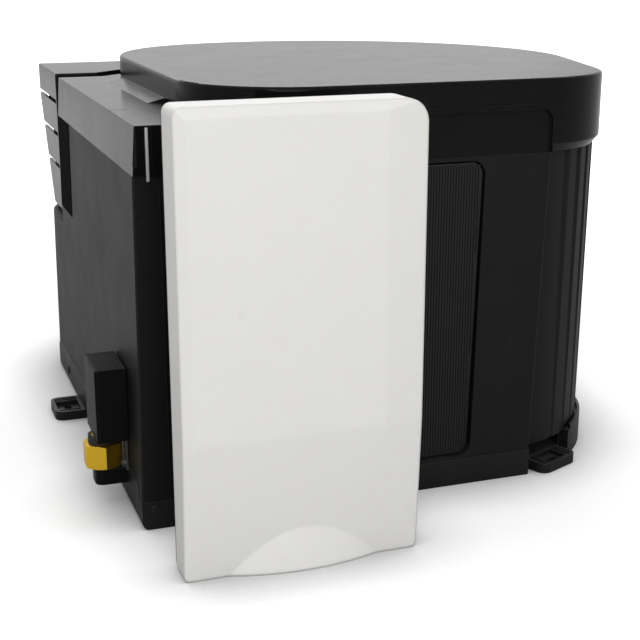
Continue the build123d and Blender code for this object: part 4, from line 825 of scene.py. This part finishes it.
vents = rowOf(unitLook["vent"], unitLook["vents"], unitLook["ventPitch"])
lid = cut(slab(*unitLook["lid"], unitLook["lidEdge"]), vents)
settle(lid, "control_unit_lid", "blackTrim", "case")
lidFace = unitLook["lid"][1][0]
lidScrews = [
    screwHead((lidFace, depth, height), "x", 1, unitLook["screw"])
    for depth in unitLook["screwDepths"] for height in unitLook["screwHeights"]
]
settle(joinAll(lidScrews), "control_lid_screws", "steel", "case")
pins = rowOf(unitLook["pin"], unitLook["pins"], unitLook["pinPitch"])
socket = cut(slab(*unitLook["socket"], unitLook["socketEdge"]), pins)
settle(socket, "control_socket", "rubber", "case")
boardLook = {
    "canRun": 20.6, "canSpots": [(258, 92), (270, 92), (258, 106)],
    "can": 4.2, "canLength": 10, "canEdge": 0.6,
    "chipRuns": (15.5, 17.6), "chipEdge": 0.3,
    "chips": [  # depth and height of a corner, then the size along each
        (255, 124, 22, 9), (284, 120, 12, 12), (258, 148, 9, 14), (276, 150, 18, 8), (284, 92, 14, 10),
    ],
}
cans = [
    rod((boardLook["canRun"], *spot), boardLook["can"], boardLook["canLength"], "x", 24, boardLook["canEdge"])
    for spot in boardLook["canSpots"]
]
settle(joinAll(cans), "board_capacitors", "stainless", "case")
lowRun, highRun = boardLook["chipRuns"]
chips = [
    slab((lowRun, depth, height), (highRun, depth + deep, height + high), boardLook["chipEdge"])
    for depth, height, deep, high in boardLook["chips"]
]
settle(joinAll(chips), "board_chips", "blackTrim", "case")
print("stage: valve and control unit made")

# Tank: weld beads round its wall, and rubber grommets where the water pipes leave the casing
tankLook = {
    "axis": (200, 200), "beadRadius": 140, "bead": 0.42, "beadHeights": (68, 148, 228),
    "beadSegments": 160, "beadSides": 10,
    "grommetRun": 115, "grommetDepth": 453.2, "grommetHeights": (60, 125), "grommetRadius": 8.6,
    "grommet": 1.5,
}
beadSize = tankLook["beadRadius"], tankLook["bead"], "z", tankLook["beadSegments"], tankLook["beadSides"]
beads = [hoop((*tankLook["axis"], height), *beadSize) for height in tankLook["beadHeights"]]
settle(joinAll(beads), "tank_weld_beads", "stainless", "case")
grommets = []
for height in tankLook["grommetHeights"]:
    spot = tankLook["grommetRun"], tankLook["grommetDepth"], height
    grommets.append(hoop(spot, tankLook["grommetRadius"], tankLook["grommet"], "y"))
settle(joinAll(grommets), "water_pipe_grommets", "rubber", "case")

# Cowl: stiffening ribs and duct collars on the frame, and ribs inside the cover
cowlLook = {
    "thick": 1.6, "ribEdge": 0.4, "frameRibs": (36, 62, 148), "frameDepths": (-66.5, -61),
    "frameHeights": ((12, 138.6), (141.4, 282)), "coverRibs": (42, 78, 114), "coverDepths": (-89.8, -86.2),
    "coverHeights": (104, 284), "ductRun": 105, "ductHeights": (90, 190), "collarDepth": -61.6,
    "collarRadius": 24.9, "collar": 1.4, "collarSegments": 64,
}


def cowlRib(run, depths, heights):
    (near, far), (low, high) = depths, heights
    return slab((run, near, low), (run + cowlLook["thick"], far, high), cowlLook["ribEdge"])


frameRibs = [
    cowlRib(run, cowlLook["frameDepths"], heights)
    for run in cowlLook["frameRibs"] for heights in cowlLook["frameHeights"]
]
settle(joinAll(frameRibs), "frame_ribs", "blackTray", "case")
collars = []
for height in cowlLook["ductHeights"]:
    spot = cowlLook["ductRun"], cowlLook["collarDepth"], height
    collars.append(hoop(spot, cowlLook["collarRadius"], cowlLook["collar"], "y", cowlLook["collarSegments"]))
settle(joinAll(collars), "duct_collars", "rubber", "case")
coverRibs = [cowlRib(run, cowlLook["coverDepths"], cowlLook["coverHeights"]) for run in cowlLook["coverRibs"]]
settle(joinAll(coverRibs), "cover_inner_ribs", "whiteCover", "cover")
print("stage: tank, grommets and cowl made")

# A pale floor, soft studio light and the camera

# One where the camera or glass looks at the background, and a share of it in reflections
def seenShare(tree, glossyShare):
    path = tree.nodes.new("ShaderNodeLightPath")
    glossy = mathNode(tree, "MULTIPLY", path.outputs["Is Glossy Ray"], glossyShare)
    mirrored = mathNode(tree, "MAXIMUM", glossy, path.outputs["Is Transmission Ray"])
    return mathNode(tree, "MAXIMUM", path.outputs["Is Camera Ray"], mirrored)


floorLook = {
    "seen": (0.8, 0.8, 0.8, 1), "lighting": (0.42, 0.42, 0.42, 1), "glow": 0.32, "farGlow": 0.4, "size": 60,
    "drop": 0.2, "glossyShare": 0.4, "contactReach": 0.06, "contactStrength": 1.0, "rough": 0.9,
}
floorMaterial = bpy.data.materials.new("floor")
floorMaterial.use_nodes = True
floorTree = floorMaterial.node_tree
floorShader = floorTree.nodes["Principled BSDF"]
floorSeen = seenShare(floorTree, floorLook["glossyShare"])
# Painted contact shadow: the floor's colour and glow darken by ambient occlusion where the object stands close above it
contact = floorTree.nodes.new("ShaderNodeAmbientOcclusion")
contact.samples = 8
contact.inputs["Distance"].default_value = floorLook["contactReach"]
openShare = mathNode(floorTree, "POWER", contact.outputs["AO"], floorLook["contactStrength"])
floorColour = mixColour(floorTree, floorSeen, floorLook["lighting"], floorLook["seen"])
floorTree.links.new(
    mixColour(floorTree, openShare, (0, 0, 0, 1), floorColour), floorShader.inputs["Base Color"]
)
floorShader.inputs["Roughness"].default_value = floorLook["rough"]
floorShader.inputs["Specular IOR Level"].default_value = 0.0
floorShader.inputs["Emission Color"].default_value = (1, 1, 1, 1)
floorReach = floorTree.nodes.new("ShaderNodeVectorMath")
floorReach.operation = "LENGTH"
floorTree.links.new(floorTree.nodes.new("ShaderNodeTexCoord").outputs["Object"], floorReach.inputs[0])
floorFar = mathNode(floorTree, "MULTIPLY", floorReach.outputs["Value"], floorLook["farGlow"])
floorGlow = mathNode(floorTree, "ADD", floorFar, floorLook["glow"], clamp=True)
# the glow is darkened by the painted contact shadow too
floorOpenGlow = mathNode(floorTree, "MULTIPLY", floorGlow, openShare)
floorSeenGlow = mathNode(floorTree, "MULTIPLY", floorSeen, floorOpenGlow)
floorTree.links.new(floorSeenGlow, floorShader.inputs["Emission Strength"])
bpy.ops.mesh.primitive_plane_add(size=floorLook["size"], location=(0, 0, -floorLook["drop"] * mm))
floor = bpy.context.object
floor.name = "floor"
floor.data.materials.append(floorMaterial)
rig.stage(floor)

# The room is white to look at, and lights the object more from behind than from in front or from above
roomLook = {"front": 0.52, "back": 0.84, "frontEnd": -0.6, "backEnd": 1.0, "up": -0.15, "glossyShare": 0.12}
world = bpy.data.worlds.new("studio")
bpy.context.scene.world = world
world.use_nodes = True
worldTree = world.node_tree
worldShader = worldTree.nodes["Background"]
worldShader.inputs["Color"].default_value = (1.0, 1.0, 1.0, 1)
worldSplit = worldTree.nodes.new("ShaderNodeSeparateXYZ")
worldTree.links.new(worldTree.nodes.new("ShaderNodeTexCoord").outputs["Generated"], worldSplit.inputs[0])
worldBack = worldTree.nodes.new("ShaderNodeMapRange")
worldBack.interpolation_type = "SMOOTHSTEP"
worldTree.links.new(worldSplit.outputs["Y"], worldBack.inputs["Value"])
worldBack.inputs["From Min"].default_value = roomLook["frontEnd"]
worldBack.inputs["From Max"].default_value = roomLook["backEnd"]
worldBack.inputs["To Min"].default_value = roomLook["front"]
worldBack.inputs["To Max"].default_value = roomLook["back"]
worldAbove = mathNode(worldTree, "MAXIMUM", worldSplit.outputs["Z"], 0.0)
worldUp = mathNode(worldTree, "MULTIPLY", worldAbove, roomLook["up"])
worldLight = mathNode(worldTree, "ADD", worldBack.outputs["Result"], worldUp)
worldMix = worldTree.nodes.new("ShaderNodeMix")
worldTree.links.new(seenShare(worldTree, roomLook["glossyShare"]), worldMix.inputs[0])
worldTree.links.new(worldLight, worldMix.inputs[2])
worldMix.inputs[3].default_value = 1.0
worldTree.links.new(worldMix.outputs[0], worldShader.inputs["Strength"])


def areaLight(name, spot, target, size, power):
    bpy.ops.object.light_add(type="AREA", location=spot)
    light = bpy.context.object
    light.name = name
    light.data.shape = "RECTANGLE"
    light.data.size = size[0]
    light.data.size_y = size[1]
    light.data.energy = power
    light.rotation_euler = (Vector(target) - Vector(spot)).to_track_quat("-Z", "Y").to_euler()
    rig.stage(light)


lampLooks = {  # place, target, size and power
    "keySoftbox": ((-0.6, -2.4, 1.3), (-0.1, -0.2, 0.1), (1.6, 1.6), 41),
    "backSoftbox": ((0.4, 2.6, 1.6), (0, 0, 0.2), (2.6, 1.2), 26),
}
for name, look in lampLooks.items():
    areaLight(name, *look)

cameraLook = {"spot": (-0.3507, -1.0213, 0.3841), "tilt": 73.6, "turn": -19.4, "lens": 72, "sensor": 36}
bpy.ops.object.camera_add(location=cameraLook["spot"])
camera = bpy.context.object
camera.rotation_euler = (math.radians(cameraLook["tilt"]), 0, math.radians(cameraLook["turn"]))
camera.data.lens = cameraLook["lens"]
camera.data.sensor_width = cameraLook["sensor"]
bpy.context.scene.camera = camera
bpy.context.scene.view_settings.view_transform = "Standard"
print("stage: light and camera set")

lowCorner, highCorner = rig.bounds()
with open("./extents.json", "r") as sizeFile:
    sizes = json.load(sizeFile)
sizes["finished"] = [list(lowCorner), list(highCorner)]
with open("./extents.json", "w") as sizeFile:
    json.dump(sizes, sizeFile)
